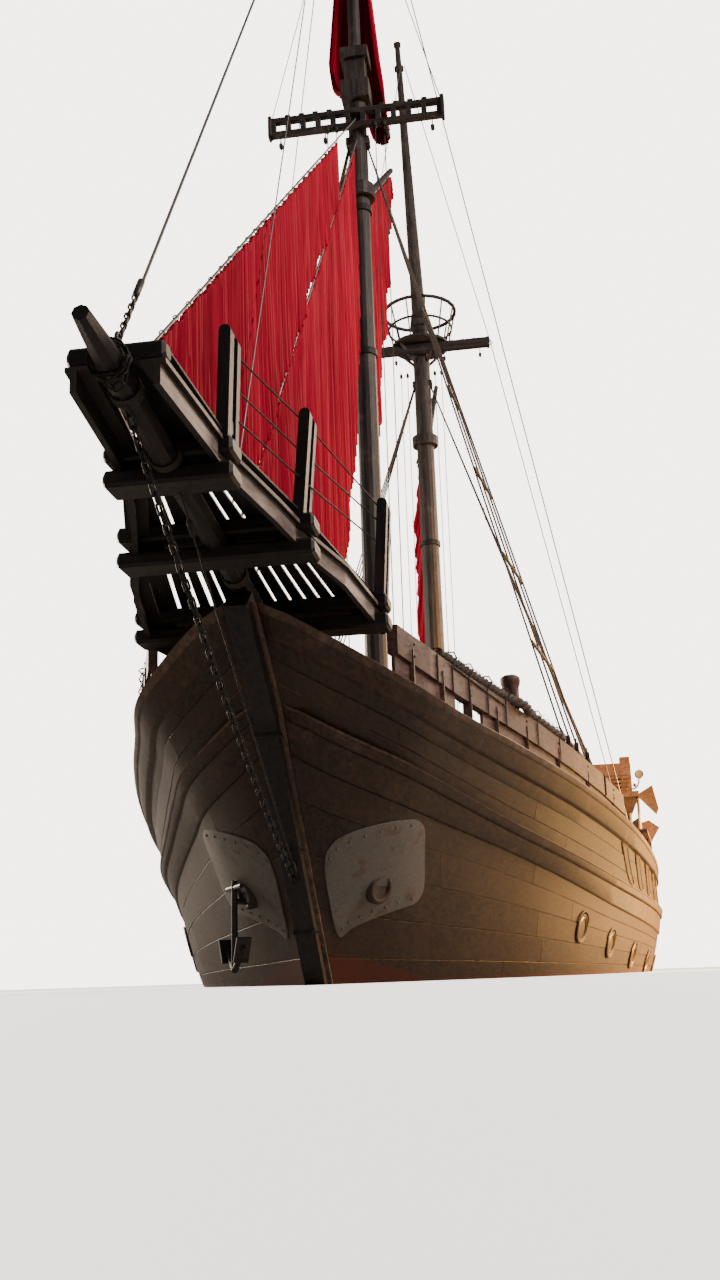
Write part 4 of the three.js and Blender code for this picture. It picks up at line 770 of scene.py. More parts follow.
def hang(name, points, faces, body, replaces):
    """Cloth from its middle surface, given its thickness."""
    mesh = bpy.data.meshes.new(name)
    mesh.from_pydata(points.tolist(), [], faces)
    mesh.materials.append(MATERIALS["sail"])
    mesh.shade_smooth()
    made = bpy.data.objects.new(name, mesh)
    bpy.context.scene.collection.objects.link(made)
    solidify = made.modifiers.new("thickness", "SOLIDIFY")
    solidify.thickness = CLOTH_THICK
    solidify.offset = 0
    apply_modifiers(made)
    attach(made, body)
    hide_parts(replaces)


def grid_faces(columns, rows):
    """Faces of a sheet laid out in columns and rows."""
    wide = columns + 1
    return [(j * wide + i, j * wide + i + 1, (j + 1) * wide + i + 1, (j + 1) * wide + i)
            for j in range(rows) for i in range(columns)]


def sail(name, head, foot, folds, deep, seed, body, replaces, rings=0.0, lean=None):
    """A sail gathered on its stay or gaff, hanging in upright folds down to its foot.

    head and foot are rows of (distance aft, height), rings is how far the head sinks between its hanks,
    and lean gives a sideways place for a share down.
    """
    rows = 26
    draw = np.random.default_rng(seed)
    columns = folds * 5
    head, foot = np.array(head), np.array(foot)
    share = np.linspace(0, 1, columns + 1)
    aft = head[0, 0] + (head[-1, 0] - head[0, 0]) * share
    top = np.interp(aft, head[:, 0], head[:, 1]) - rings * np.abs(np.sin(math.pi * share * folds / 4))
    low = np.interp(aft, foot[:, 0], foot[:, 1]) + 0.012 * np.sin(2 * math.pi * share * folds + 1.0)
    down = np.linspace(0, 1, rows + 1)[:, None]
    phase = 2 * math.pi * share * folds
    wander = sum(draw.uniform(0.5, 1.6) * np.sin(2 * math.pi * share * k + draw.uniform(0, 6.3))
                 for k in (3.3, 7.1, 13.7, 22.3))
    drift = sum(a * np.sin(k * down * 3 + draw.uniform(0, 6.3) + 2 * wander)
                for k, a in ((1, 0.35), (2.3, 0.2)))
    wave = np.sin(phase + wander + drift)
    small = np.sin(2.1 * phase + 2 * wander + 1.7 * drift + 1.0)
    broad = sum(np.sin(2 * math.pi * share * k + draw.uniform(0, 6.3) + 0.6 * down)
                for k in (1.7, 4.3, 9.1))
    pleat = np.sign(wave) * np.abs(wave) ** 0.7 * (0.5 + 0.5 * down)
    out = deep * (pleat + 0.25 * small) + 0.5 * deep * broad * down
    sway = 0.012 * np.sin(phase * 0.5 + wander + 2.0 * down)
    grid = np.empty((rows + 1, columns + 1, 3))
    grid[:, :, 0] = out + (np.interp(down, *lean) if lean else 0)
    grid[:, :, 1] = aft[None, :] + sway
    grid[:, :, 2] = top + (low - top) * down
    hang(name, grid.reshape(-1, 3), grid_faces(columns, rows), body, replaces)


JIB_STAY = ((-6.072, 3.76), (4.86, 13.51))
INNER_STAY = ((-3.48, 3.40), (4.86, 13.15))


def on_line(line, aft, lower=0.0):
    """A point of a stay, as distance aft and height."""
    (y0, z0), (y1, z1) = line
    return aft, z0 + (z1 - z0) * (aft - y0) / (y1 - y0) - lower


# Distance aft of each mast's axis
FORE_Y, MAIN_Y = 4.98, 14.37
# The topsail's bundle: height, then its limits across and aft of the mast's axis
TOPSAIL_LIMITS = np.array([
    (13.50, 0.20, 0.48, 0.32, 0.62), (14.15, 0.04, 0.42, 0.29, 0.72), (14.48, -0.42, 0.39, 0.28, 0.78),
    (14.95, -0.48, 0.34, 0.26, 0.82), (16.40, -0.32, 0.24, 0.09, 0.82), (18.50, -0.32, 0.29, 0.08, 0.70),
    (20.35, -0.17, 0.17, 0.07, 0.46)])


def sails():
    """The five sails, each hung where the photo has it."""
    sail("outer_jib_cloth", [on_line(JIB_STAY, -5.35, 0.02), on_line(JIB_STAY, 2.75, 0.02)],
         [(-5.35, 4.25), (-2.70, 4.36), on_line(INNER_STAY, -2.65, -0.05), on_line(INNER_STAY, 2.75, -0.05)],
         104, 0.036, 3, SHIP, "outer_jib", rings=0.03)
    sail("inner_staysail_cloth", [on_line(INNER_STAY, -2.6, 0.02), on_line(INNER_STAY, 4.40, 0.02)],
         [(-2.6, 4.25), (-1.9, 4.55), (2.0, 4.75), (3.15, 6.60), (3.95, 9.00), (4.35, 11.50),
          (4.40, 12.2)],
         92, 0.036, 5, SHIP, "inner_staysail", rings=0.03)
    sail("foresail_cloth", [(FORE_Y + 0.42, 12.25), (FORE_Y + 4.45, 15.50)],
         [(FORE_Y + 0.42, 6.45), (FORE_Y + 0.80, 6.55), (FORE_Y + 1.1, 8.4), (FORE_Y + 1.95, 10.5),
          (FORE_Y + 3.4, 12.9), (FORE_Y + 4.45, 15.2)],
         56, 0.045, 7, "fore_gaff", "foresail")
    sail("mainsail_cloth", [(MAIN_Y + 0.42, 11.85), (MAIN_Y + 3.70, 14.80)],
         [(MAIN_Y + 0.42, 5.3), (MAIN_Y + 0.65, 5.4), (MAIN_Y + 0.75, 8.0), (MAIN_Y + 1.0, 10.3),
          (MAIN_Y + 1.6, 11.1), (MAIN_Y + 2.6, 12.6), (MAIN_Y + 3.70, 14.5)],
         46, 0.045, 9, "main_gaff", "mainsail", lean=((0, 0.3, 1), (0, -0.05, -0.38)))
    topsail()


def topsail():
    """The topsail hangs in deep gathered folds round its mast's after side, its clew let down to port."""
    foot, head, rows, count = 13.5, 20.35, 80, 150
    heights = np.linspace(foot, head, rows)[:, None]
    x0, x1, y0, y1 = (np.interp(heights, TOPSAIL_LIMITS[:, 0], TOPSAIL_LIMITS[:, k]) for k in range(1, 5))
    angle = math.pi * (-0.12 + 1.24 * np.linspace(0, 1, count + 1))
    draw = np.random.default_rng(21)
    ripple = 1 + sum(a * np.sin(k * angle + draw.uniform(0, 6.3) + w * heights)
                     for k, a, w in ((9, 0.05, 0.5), (21, 0.05, 0.3), (37, 0.04, 0.2)))
    grid = np.empty((rows, count + 1, 3))
    grid[:, :, 0] = (x0 + x1) / 2 + (x1 - x0) / 2 * np.cos(angle) * ripple
    grid[:, :, 1] = FORE_Y + y0 + 0.02 + (y1 - y0) * (0.12 + 0.82 * np.maximum(np.sin(angle), -0.1)) * ripple
    grid[:, :, 2] = heights
    hang("fore_topsail_cloth", grid.reshape(-1, 3), grid_faces(count, rows - 1), SHIP, "fore_topsail")


sails()


# The bows
PLATE_ENDS = (0.42, 2.62)


def plate_lines(u):
    """The hawse plate's lower and upper edge, with its corners rounded."""
    low, high = 2.175 + 0.117 * u, 2.485 + 0.186 * u
    near = min(u - PLATE_ENDS[0], PLATE_ENDS[1] - u)
    inset = 0.10 * (1 - math.sqrt(max(0.0, 1 - (1 - near / 0.25) ** 2))) if near < 0.25 else 0.0
    return low + inset, high - inset


def hawse_plates():
    """A riveted plate on each bow, with the ring and a black pipe in its hawse hole, whose shallow closed
    floor is painted shade for the hole's depth.
    """
    first, last = PLATE_ENDS
    corner = (0, 0.03, 0.1, 0.25, 0.5, 0.75, 1)
    stations = [first + 0.25 * t for t in corner] + steps(0.79, 2.25, 0.12)
    stations += [last - 0.25 * t for t in reversed(corner)]
    rings = []
    for u in stations:
        low, high = plate_lines(u)
        lines = [low + (high - low) * k / 10 for k in range(11)]
        face = [planking(u, v) + outward(u, v) * 0.026 for v in lines]
        back = [planking(u, v) - outward(u, v) * 0.02 for v in lines]
        face[0] -= outward(u, low) * 0.006
        face[-1] -= outward(u, high) * 0.006
        rings.append(face + list(reversed(back)))
    bodies = [loft(rings)]
    for u in steps(0.7, 2.35, 0.3):
        for v, inset in zip(plate_lines(u), (0.035, -0.035)):
            way = outward(u, v)
            bodies.append(lathe([(0.016, -0.004), (0.016, 0.005), (0.009, 0.011), (0.002, 0.012)],
                                planking(u, v + inset) + way * 0.026, way, 8))
    on_both("hawse_plate_metal", bodies, "plate", smooth=True, replaces="hawse_plate")
    middle = planking(1.7, 2.5)
    way = (outward(1.7, 2.5) + Vector((0.25, -0.15, 0.25))).normalized()
    ring = [(0.105, -0.06), (0.165, -0.06), (0.16, 0.036), (0.135, 0.052), (0.105, 0.036)]
    on_both("hawse_ring", [lathe(ring, middle, way, 28),
                           hoop(middle + way * 0.040, way, 0.128, 0.026, 28, 10)], "rusty", smooth=True)
    # A shallow black cup: the pipe's iron wall is real, and its closed floor is painted shade where the hole
    # would run deep
    pipe = [(0.108, -0.02), (0.108, 0.030), (0.09, 0.024), (0.08, -0.01), (0.002, -0.015)]
    on_both("hawse_pipe_shade_floor", [lathe(pipe, middle, way, 24)], "black", smooth=True)


hawse_plates()


def stem_dressing():
    """A rabbet strip up each side of the stem, its lighter timber partly a painted highlight of the stem's
    lit side, and the irons on its face.
    """
    strip = []
    for v in steps(1.2, 4.98, 0.1):
        p = planking(0.0, v)
        strip.append(Vector((0.118, p.y - 0.03, p.z)))
    section = ((-0.03, -0.045), (0.022, -0.035), (0.022, 0.03), (-0.03, 0.04))
    rings = [[p + Vector((dx, dy, 0)) for dx, dy in section] for p in strip]
    # The rabbet strips are real battens, but their lighter timber is partly a painted highlight along the
    # stem's side
    on_both("stem_rabbet_highlight", [loft([eased(r, 0.008) for r in rings])], "strip", smooth=True)
    bodies = []
    for y, z in ((-1.30, 1.22), (-0.62, 0.50), (-2.15, 2.15)):
        face = hit("stem", (0, y - 1.0, z), Y_AXIS).y
        bodies.append(block(-0.108, 0.108, face - 0.012, face + 0.16, z - 0.03, z + 0.03, 0.004))
        bodies += [lathe([(0.014, -0.004), (0.012, 0.010), (0.003, 0.014)], (0.109, face + t, z), X_AXIS, 8)
                   for t in (0.04, 0.12)]
    piece("stem_irons", bodies, "black", smooth=True)


stem_dressing()

CHAIN_TOP, CHAIN_FOOT, CHAIN_SAG = Vector((0, -6.10, 3.62)), Vector((0, -1.05, 0.91)), 0.38


def bobstays():
    """The bobstay chain under the bowsprit, and a thin wire beside it."""
    line = []
    for i in range(41):
        t = i / 40
        sag = CHAIN_SAG * 4 * t * (1 - t)
        line.append(CHAIN_TOP.lerp(CHAIN_FOOT, t) + Vector((0, sag * 0.55, -sag * 0.6)))
    links = link_chain(line, 0.125, 0.066, 0.019)
    eye = hoop(CHAIN_FOOT + Vector((0, 0.02, 0)), X_AXIS, 0.045, 0.014, 16, 8)
    piece("bobstay_links", links + [eye], "black", smooth=True, replaces=["bobstay_chain"])
    foot = hit("stem", (0.035, -2.4, 0.93), Y_AXIS)
    start = Vector((0.035, -5.0, 3.40))
    wire = [tube([start, foot + Vector((0, -0.01, 0))], 0.008, 8)]
    socket = [(0.010, 0), (0.022, 0.02), (0.022, 0.14), (0.010, 0.16)]
    wire += [lathe(socket, start.lerp(foot, t), foot - start, 10) for t in (0.06, 0.93)]
    piece("bobstay_wire", wire, "black", smooth=True)


bobstays()


def log_height(y):
    """Height of the bowsprit log's middle."""
    return 3.781 + (3.035 - 3.781) * (y + 6.830) / 5.330


def log_dressing():
    """Chain wraps and lashings round the bowsprit log."""
    along = Vector((0, 5.330, -0.746)).normalized()
    wraps = []
    for y, tilt in ((-6.335, 0.10), (-6.37, -0.08)):
        middle = Vector((0, y, log_height(y)))
        ring = [middle + 0.122 * Vector((math.cos(a), tilt * math.sin(a + 0.7), math.sin(a)))
                for a in (2 * math.pi * k / 24 for k in range(25))]
        wraps += link_chain(ring, 0.105, 0.058, 0.016)
    hang_down = [Vector((0.10, -6.34, log_height(-6.34) - 0.06)), Vector((0.09, -6.33, 3.60)),
                 Vector((0.03, -6.25, 3.55)), Vector((-0.06, -6.30, 3.62))]
    wraps += link_chain(hang_down, 0.105, 0.058, 0.016)
    piece("bowsprit_chain", wraps, "black", smooth=True)
    turns = []
    for y in (-6.02, -5.20, -3.66, -3.30):
        turns += lashing((0, y, log_height(y)), along, 0.104, 5, 0.008)
    piece("bowsprit_lashings", turns, "rope", smooth=True)


log_dressing()


def stay_gear():
    """Short chains and turnbuckles at the feet of the stays, and the hanks of the headsails."""
    bodies = []
    for (y0, z0), (y1, z1), reach in (((-6.215, 3.90), (-2.34, 9.70), 0.62), (*JIB_STAY, 0.50),
                                      (*INNER_STAY, 0.4)):
        foot, way = Vector((0, y0, z0)), Vector((0, y1 - y0, z1 - z0)).normalized()
        bodies += link_chain([foot + way * 0.06, foot + way * reach], 0.085, 0.05, 0.014)
        bodies.append(lathe([(0.012, 0), (0.026, 0.02), (0.026, 0.20), (0.012, 0.22)], foot + way * reach,
                            way, 10))
        bodies.append(hoop(foot + way * 0.05, X_AXIS, 0.04, 0.012, 16, 6))
    piece("stay_chains", bodies, "iron", smooth=True)
    thimbles = []
    for line, first, last, count in ((JIB_STAY, -5.3, 2.7, 26), (INNER_STAY, -2.5, 4.35, 23)):
        way = Vector((0, line[1][0] - line[0][0], line[1][1] - line[0][1]))
        for i in range(count):
            y = first + (last - first) * i / (count - 1)
            thimbles.append(hoop((0, *on_line(line, y, 0.006)), way, 0.020, 0.005, 12, 6))
    piece("sail_hanks", thimbles, "pale_rope", smooth=True)


stay_gear()


# Beakhead beams: distance aft, half-length, middle heights of the upper and lower one, width
BEAK_BEAMS = [(-6.17, 0.32, 3.825, None, 0.15), (-5.04, 0.465, 3.63, 3.445, 0.29),
              (-3.82, 0.79, 3.475, 3.27, 0.29), (-2.325, 1.145, 3.235, 3.06, 0.29)]
# Slits between the boards of each bay: the share of the beam's half-length, and the slit's width
BEAK_SLITS = [[(-0.50, 0.034)], [(-0.55, 0.024), (-0.45, 0.026), (0.125, 0.022), (0.30, 0.024)],
              [(-0.66, 0.032), (-0.51, 0.036), (-0.39, 0.036), (-0.28, 0.024), (0.12, 0.022), (0.24, 0.024),
               (0.355, 0.024), (0.465, 0.023), (0.58, 0.022)]]
BEAK_EDGE = 0.90
# Where the life wires meet the posts, across and aft, and the height of each wire at each post
LIFE_WIRE_POSTS = ((0.43, -4.97), (0.74, -3.75), (1.12, -2.25))
LIFE_WIRES = ((4.40, 4.32, 4.10), (4.13, 4.04, 3.97), (3.90, 3.81, 3.76))
# The hooked board, across and up
HOOK_OUTLINE = [(-1.10, 3.42), (-1.14, 3.30), (-1.10, 3.12), (-1.02, 2.99), (-0.86, 2.90), (-0.62, 2.88),
                (-0.62, 2.97), (-0.84, 3.00), (-0.97, 3.10), (-1.02, 3.22), (-1.02, 3.36)]


def beak_boards():
    """Boards laid fore and aft on the beams, tight together but for the slits."""
    widest, thick, over_beam = 0.17, 0.022, 0.0605
    bodies, tones = [], []
    draw = random.Random(5)
    for bay, slits in enumerate(BEAK_SLITS):
        (y0, half0, z0, _, _), (y1, half1, z1, _, _) = BEAK_BEAMS[bay], BEAK_BEAMS[bay + 1]
        edges = [(-BEAK_EDGE, 0.0), *slits, (BEAK_EDGE, 0.0)]
        for (share0, gap0), (share1, gap1) in zip(edges, edges[1:]):
            count = max(1, round((share1 - share0) * half1 / widest))
            for k in range(count):
                ends = []
                lift = draw.uniform(0, 0.003)
                for y, half, z in ((y0 + 0.004, half0, z0), (y1 - 0.004, half1, z1)):
                    low = share0 * half + gap0 / 2
                    high = share1 * half - gap1 / 2
                    a = low + (high - low) * k / count + 0.001
                    b = low + (high - low) * (k + 1) / count - 0.001
                    foot = z + over_beam + lift
                    corners = ((b, foot + thick), (a, foot + thick), (a, foot), (b, foot))
                    ends.append(eased([Vector((x, y, height)) for x, height in corners], 0.004))
                bodies.append(loft(ends))
                tones.append(draw.random())
    return bodies, tones


def beak_beams():
    """Upper and lower beams of the beakhead, with blocks between them near their ends."""
    deep, chamfer = 0.125, 0.022
    bodies = []
    for y, half, upper, lower, wide in BEAK_BEAMS:
        for z in (upper, lower):
            if z is not None:
                bodies.append(turned(beam(0, -half, half, 0, wide, deep, chamfer),
                                     Matrix.Translation((0, y, z)) @ Matrix.Rotation(math.pi / 2, 4, "Z")))
        if lower is not None:
            inner = max(half - 0.33, 0.11)
            for way in (1, -1):
                x0, x1 = sorted((way * inner, way * (half - 0.24)))
                bodies.append(block(x0, x1, y - 0.07, y + 0.07, lower, upper))
    return bodies


def beak_dressing():
    """The platform, the life wires between its posts, and a hooked board under the last beam."""
    boards, tones = beak_boards()
    piece("beak_boards", boards, "dark_y", tones=tones)
    piece("beak_beams", beak_beams(), "dark_x", replaces=["beak_platform"])
    wires = []
    for heights in LIFE_WIRES:
        line = [Vector((x, y, z)) for (x, y), z in zip(LIFE_WIRE_POSTS, heights)]
        wires += [tube([a, b], 0.007, 6) for a, b in zip(line, line[1:])]
    on_both("beak_life_wires", wires, "black", smooth=True)
    board = loft([[Vector((x, y, z)) for x, z in HOOK_OUTLINE] for y in (-2.20, -2.15)])
    piece("beak_hook_board", [board], "dark_x")


beak_dressing()


# Openings in the hull's side
PORTS = [(5.465, 2.523), (6.04, 2.42), (6.65, 2.30), (7.25, 2.21), (7.82, 2.13), (8.4, 2.06)]


def oval_pane(middle, way, radius, squash):
    """A slightly domed oval glass."""
    up = (Vector(Z_AXIS) - way * way.z).normalized()
    side = up.cross(way)
    return loft([[middle + way * off + share * radius * spoke for spoke in circle(side, squash * up, 28)]
                 for share, off in ((0.98, -0.015), (0.98, 0.002), (0.7, 0.006), (0.02, 0.008))])


def portholes():
    """Oval ports with a rim, a ring, a pane and a brow."""
    rims, inner, panes, brows = [], [], [], []
    for u, v in PORTS:
        way = outward(u, v)
        middle = planking(u, v) + way * 0.012
        rims.append(hoop(middle + way * 0.006, way, 0.205, 0.022, 36, 8, 0.84))
        inner.append(hoop(middle + way * 0.010, way, 0.170, 0.010, 32, 6, 0.84))
        panes.append(oval_pane(middle, way, 0.19, 0.84))
        up = (Vector(Z_AXIS) - way * way.z).normalized()
        side = up.cross(way)
        arc = [middle + way * 0.012 + 0.255 * (math.cos(a) * side + 0.88 * math.sin(a) * up)
               for a in (math.pi * (0.12 + 0.76 * k / 12) for k in range(13))]
        brows.append(tube(arc, 0.014, 6))
    on_both("porthole_rims", rims, "wale", smooth=True)
    on_both("porthole_rings", inner, "brass", smooth=True)
    on_both("porthole_glass", panes, "shade", smooth=True)
    on_both("porthole_brows", brows, "wale", smooth=True)


portholes()

# Tall slots between the wales: the station at the top and at the foot
SLOTS = [(6.04, 6.39), (6.43, 6.67), (6.81, 6.97), (7.21, 7.30), (7.60, 7.66), (8.00, 8.04)]


def hull_slots():
    """Dark slots between the wales, round at the foot, each in a frame."""
    panes, frames = [], []
    for top_u, low_u in SLOTS:
        rings, edge_a, edge_b = [], [], []
        for k in range(15):
            t = k / 14
            v = 4.66 - 0.58 * t
            u = top_u + (low_u - top_u) * t
            half = 0.062 * math.sqrt(max(0.02, 1 - (max(t - 0.82, 0) / 0.18) ** 2))
            left, right = planking(u - half, v), planking(u + half, v)
            way = outward(u, v)
            rings.append([left - way * 0.03, left + way * 0.014, right + way * 0.014, right - way * 0.03])
            edge_a.append(left + way * 0.014)
            edge_b.append(right + way * 0.014)
        panes.append(loft(rings))
        frames.append(tube(edge_a + edge_b[::-1], 0.013, 6, closed=True))
    on_both("hull_slot_panes", panes, "shade")
    on_both("hull_slot_frames", frames, "strip", smooth=True)


hull_slots()


# Rigging: distance aft of each mast, its radius, the deck's height and that of its hounds
MASTS = ((FORE_Y, 0.176, 1.9, 13.15), (MAIN_Y, 0.226, 1.75, 13.30))


def masts_dressing():
    """Iron bands, a pin rail ahead of each mast with its pins, and the lines that come down to it."""
    bands, ropes, blocks, pins = [], [], [], []
    pin = [(0.010, -0.16), (0.014, 0.02), (0.022, 0.12), (0.020, 0.18), (0.004, 0.20)]
    for y, radius, foot, hounds in MASTS:
        inner, outer = radius - 0.02, radius + 0.006
        for z in (2.6, 5.2, 9.4, 11.9):
            bands.append(lathe([(inner, -0.05), (outer, -0.05), (outer, 0.05), (inner, 0.05)], (0, y, z),
                               Z_AXIS, 28))
        ropes += lashing((0, y, hounds - 0.55), Z_AXIS, radius + 0.004, 9, 0.012)
        rail_y, rail_z, half = y - radius - 0.32, foot + 0.86, 0.62
        y0, y1 = rail_y - 0.05, rail_y + 0.05
        pins.append(block(-half, half, y0, y1, rail_z, rail_z + 0.07))
        for x in (-half + 0.05, half - 0.05):
            pins.append(block(x - 0.05, x + 0.05, y0, y1, on_deck(x, rail_y) - 0.01, rail_z + 0.14))
        for i in range(8):
            x = -0.46 + 0.92 * i / 7
            pins.append(lathe(pin, (x, rail_y, rail_z + 0.03), Z_AXIS, 8))
            if i in (0, 1, 6, 7):
                out = 0.42 if i in (1, 6) else 0.62
                top = Vector((0.75 * math.copysign(1, x) * out, y - 0.20, hounds + 0.1))
                ropes.append(tube([(x, rail_y, rail_z + 0.06), top], 0.008, 6))
                blocks += pulley(top + Vector((0, 0, 0.06)))
                ropes += lashing((x, rail_y, rail_z + 0.10), Z_AXIS, 0.026, 4, 0.009)
    piece("mast_bands", bands, "black", smooth=True)
    piece("mast_ropes", ropes, "rope", smooth=True)
    piece("mast_blocks", blocks, "dark_x", smooth=True)
    piece("pin_rails", pins, "rail", smooth=True)


masts_dressing()


def backstays():
    """Stays from the topmasts down to the rails, with their turnbuckles, and the thin lines aloft."""
    screw = [(0.012, 0), (0.028, 0.02), (0.028, 0.24), (0.012, 0.26)]
    fore_head, main_head = Vector((0.06, 5.0, 20.95)), Vector((0.04, 13.12, 20.95))
    tree_end = Vector((1.63, 14.11, 14.06))
    fore_foot, main_foot = Vector((3.70, 9.55, 1.95)), Vector((4.02, 15.95, 1.80))
    lines, gear = [], []
    for way in (1, -1):
        flip = Vector((way, 1, 1))
        lines.append(tube([flip * fore_head, flip * fore_foot], 0.010, 6))
        corner = flip * tree_end
        lines.append(tube([flip * main_head, corner], 0.010, 6))
        lines.append(tube([corner, flip * main_foot], 0.011, 6))
        gear.append(hoop(corner, Y_AXIS, 0.045, 0.010, 16, 6))
        for foot, head in ((fore_foot, fore_head), (main_foot, tree_end)):
            foot, head = flip * foot, flip * head
            along = (head - foot).normalized()
            gear.append(lathe(screw, foot + along * 0.06, along, 10))
            x0, x1 = sorted((foot.x - way * 0.05, foot.x + way * 0.10))
            gear.append(block(x0, x1, foot.y - 0.03, foot.y + 0.03, foot.z - 0.12, foot.z + 0.04))
        lines.append(tube([flip * Vector((0.10, 4.98, 18.9)), flip * Vector((1.38, 4.80, 13.66))], 0.008, 6))
    beam_top = top_of("beak_platform", 0.10, -3.84)
    lines.append(tube([(0.10, -3.84, beam_top), (0.03, 4.92, 21.6)], 0.008, 6))
    piece("backstays", lines, "wire", smooth=True)
    piece("backstay_gear", gear, "iron", smooth=True)


backstays()


def crosstree_dressing():
    """Cleats along the crosstrees' tops, end cheeks and blocks hung beneath."""
    bodies, blocks, strops = [], [], []
    for y, half, top, low in ((4.795, 1.435, 13.67, 13.34), (14.11, 1.60, 14.18, 13.98)):
        for way in (1, -1):
            x0, x1 = sorted((way * half, way * (half - 0.055)))
            bodies.append(block(x0, x1, y - 0.085, y + 0.085, low - 0.02, top + 0.012))
            for share in (0.30, 0.46, 0.62, 0.78):
                x = way * half * share
                bodies.append(block(x - 0.045, x + 0.045, y - 0.03, y + 0.03, top - 0.005, top + 0.035))
            for share in (0.35, 0.86):
                x = way * half * share
                strops.append(tube([(x, y, low + 0.02), (x, y, low - 0.10)], 0.010, 6))
                blocks += pulley((x, y, low - 0.20))
    piece("crosstree_cleats", bodies, "spar_x")
    piece("crosstree_blocks", blocks, "dark_x", smooth=True)
    piece("crosstree_strops", strops, "rope", smooth=True)


crosstree_dressing()


def nest_dressing():
    """Two more hoops of the crow's nest, which shrink to points, and its brackets."""
    hoops = [hoop((0, MAIN_Y, z), Z_AXIS, r, 0.018, 40, 8) for z, r in ((14.72, 0.775), (15.12, 0.86))]
    piece("nest_hoops", hoops, "spar_x", smooth=True)
    brackets = []
    for k in range(4):
        angle = math.pi * (0.25 + 0.5 * k)
        foot, head = (Vector((out * math.cos(angle), MAIN_Y + out * math.sin(angle), z))
                      for out, z in ((0.19, 13.82), (0.58, 14.21)))
        brackets.append(between(foot, head, 0.05, 0.06))
    piece("nest_brackets", brackets, "spar_x")


nest_dressing()


# Fore rail
RAIL_ENDS = (2.0, 6.0)
BUNDLE_ENDS = (2.72, 4.88)
POST_U = 4.15


def on_rail(u, out=0.0, up=0.0):
    """A point over the fore rail's plank, measured from the middle of its top."""
    share = (u - RAIL_ENDS[0]) / (RAIL_ENDS[1] - RAIL_ENDS[0])
    edge = planking(u, SHEER_V)
    top = edge.z + 0.017 + 0.23 - 0.12 * share + 0.27
    return Vector((edge.x - BULWARK_THICK / 2 + out, edge.y, top + up))


HEAD_POST = on_rail(POST_U, -0.04, 0.345)


def rail_strap(u, over):
    """A rope taken round the rail's plank, and over what lies on it."""
    corners = [(-0.056, -0.276), (-0.056, 0.0), (-0.030, over), (0.075, over), (0.105, over * 0.4 + 0.01),
               (0.056, -0.02), (0.056, -0.276)]
    return tube([on_rail(u, out, up) for out, up in corners], 0.008, 6, closed=True)


def bundle_middle(u):
    """How far out the rope bundle lies, as it swings round the head post."""
    return 0.020 + 0.075 * math.exp(-((u - POST_U) / 0.13) ** 2)


def rope_bundle():
    """Four thick strands laid up together, with loose fibres, and the ropes that lash them to the rail."""
    draw = random.Random(31)
    strands, tufts, straps = [], [], []
    first, last = BUNDLE_ENDS
    for k in range(4):
        line = []
        for i in range(85):
            u = first + (last - first) * i / 84
            angle = i * 0.55 + k * math.pi / 2
            thick = 0.030 * min(1.0, 0.35 + i / 10, 0.35 + (84 - i) / 10)
            out = bundle_middle(u) + thick * math.cos(angle)
            line.append(on_rail(u, out, 0.052 + thick * math.sin(angle)))
        strands.append(tube(line, 0.027, 8))
    for _ in range(260):
        u = draw.uniform(2.75, 4.85)
        angle = draw.uniform(-0.4, 3.4)
        foot = on_rail(u, bundle_middle(u) + 0.045 * math.cos(angle), 0.055 + 0.045 * math.sin(angle))
        way = Vector((math.cos(angle), draw.uniform(-1, 1), math.sin(angle) + 0.2))
        tufts.append(tube([foot, foot + way * draw.uniform(0.015, 0.04)], [0.004, 0.0012], 4))
    for u in (2.62, 2.9, 3.2, 3.55, 3.9, 4.4, 4.75):
        straps.append(rail_strap(u, 0.045 if u < first else 0.118))
    straps.append(tube([on_rail(u, 0.056, -0.02 - 0.05 * (u - 2.9)) for u in steps(2.9, 3.9, 0.1)], 0.008, 6))
    on_both("rail_rope_bundle", strands, "bundle", smooth=True)
    on_both("rail_rope_fibres", tufts, "bundle")
    on_both("rail_lashings", straps, "rope", smooth=True)


def rail_irons():
    """Treenails in the rail's face and an iron strap over it."""
    nails = []
    for i in range(8):
        u = 2.25 + 0.5 * i
        ahead, behind = on_rail(u - 0.05), on_rail(u + 0.05)
        way = Vector((behind.y - ahead.y, ahead.x - behind.x, 0)).normalized()
        for up in (-0.075, -0.19):
            nails.append(lathe([(0.015, -0.006), (0.014, 0.002), (0.009, 0.005), (0.002, 0.006)],
                               on_rail(u, 0.0475, up), way, 8))
    on_both("rail_treenails", nails, "dark_x", smooth=True)
    half_strap = ((0.054, -0.27), (0.056, -0.02), (0.04, 0.012))
    strap = [on_rail(5.55, out, up) for out, up in half_strap]
    strap += [on_rail(5.55, -out, up) for out, up in reversed(half_strap)]
    on_both("rail_iron_strap", [tube(strap, 0.012, 8)], "black", smooth=True)


def rail_tops():
    """Blocks stowed on the rail and the head post's turned top."""
    blocks = []
    for u in (4.98, 5.12, 5.3):
        blocks += pulley(on_rail(u, 0.01, 0.085), 0.15)
        low, high = on_rail(u, -0.025, -0.004), on_rail(u, 0.045, 0.06)
        blocks.append(block(low.x, high.x, low.y - 0.012, low.y + 0.012, low.z, high.z, 0.004))
    on_both("rail_blocks", blocks, "dark_x", smooth=True)
    profile = [(0.074, -0.16), (0.082, -0.12), (0.106, -0.05), (0.112, -0.01), (0.104, 0.022), (0.07, 0.042),
               (0.004, 0.05)]
    turns = lashing(HEAD_POST - Vector((0, 0, 0.23)), Z_AXIS, 0.083, 3, 0.009)
    on_both("rail_post_head", [lathe(profile, HEAD_POST, Z_AXIS, 20), *turns], "rail", smooth=True)


rope_bundle()
rail_irons()
rail_tops()


# Distance aft of each shroud's foot
SHROUD_FEET = ((4.80, 5.45, 6.10, 6.75), (13.70, 14.35, 15.00, 15.65))


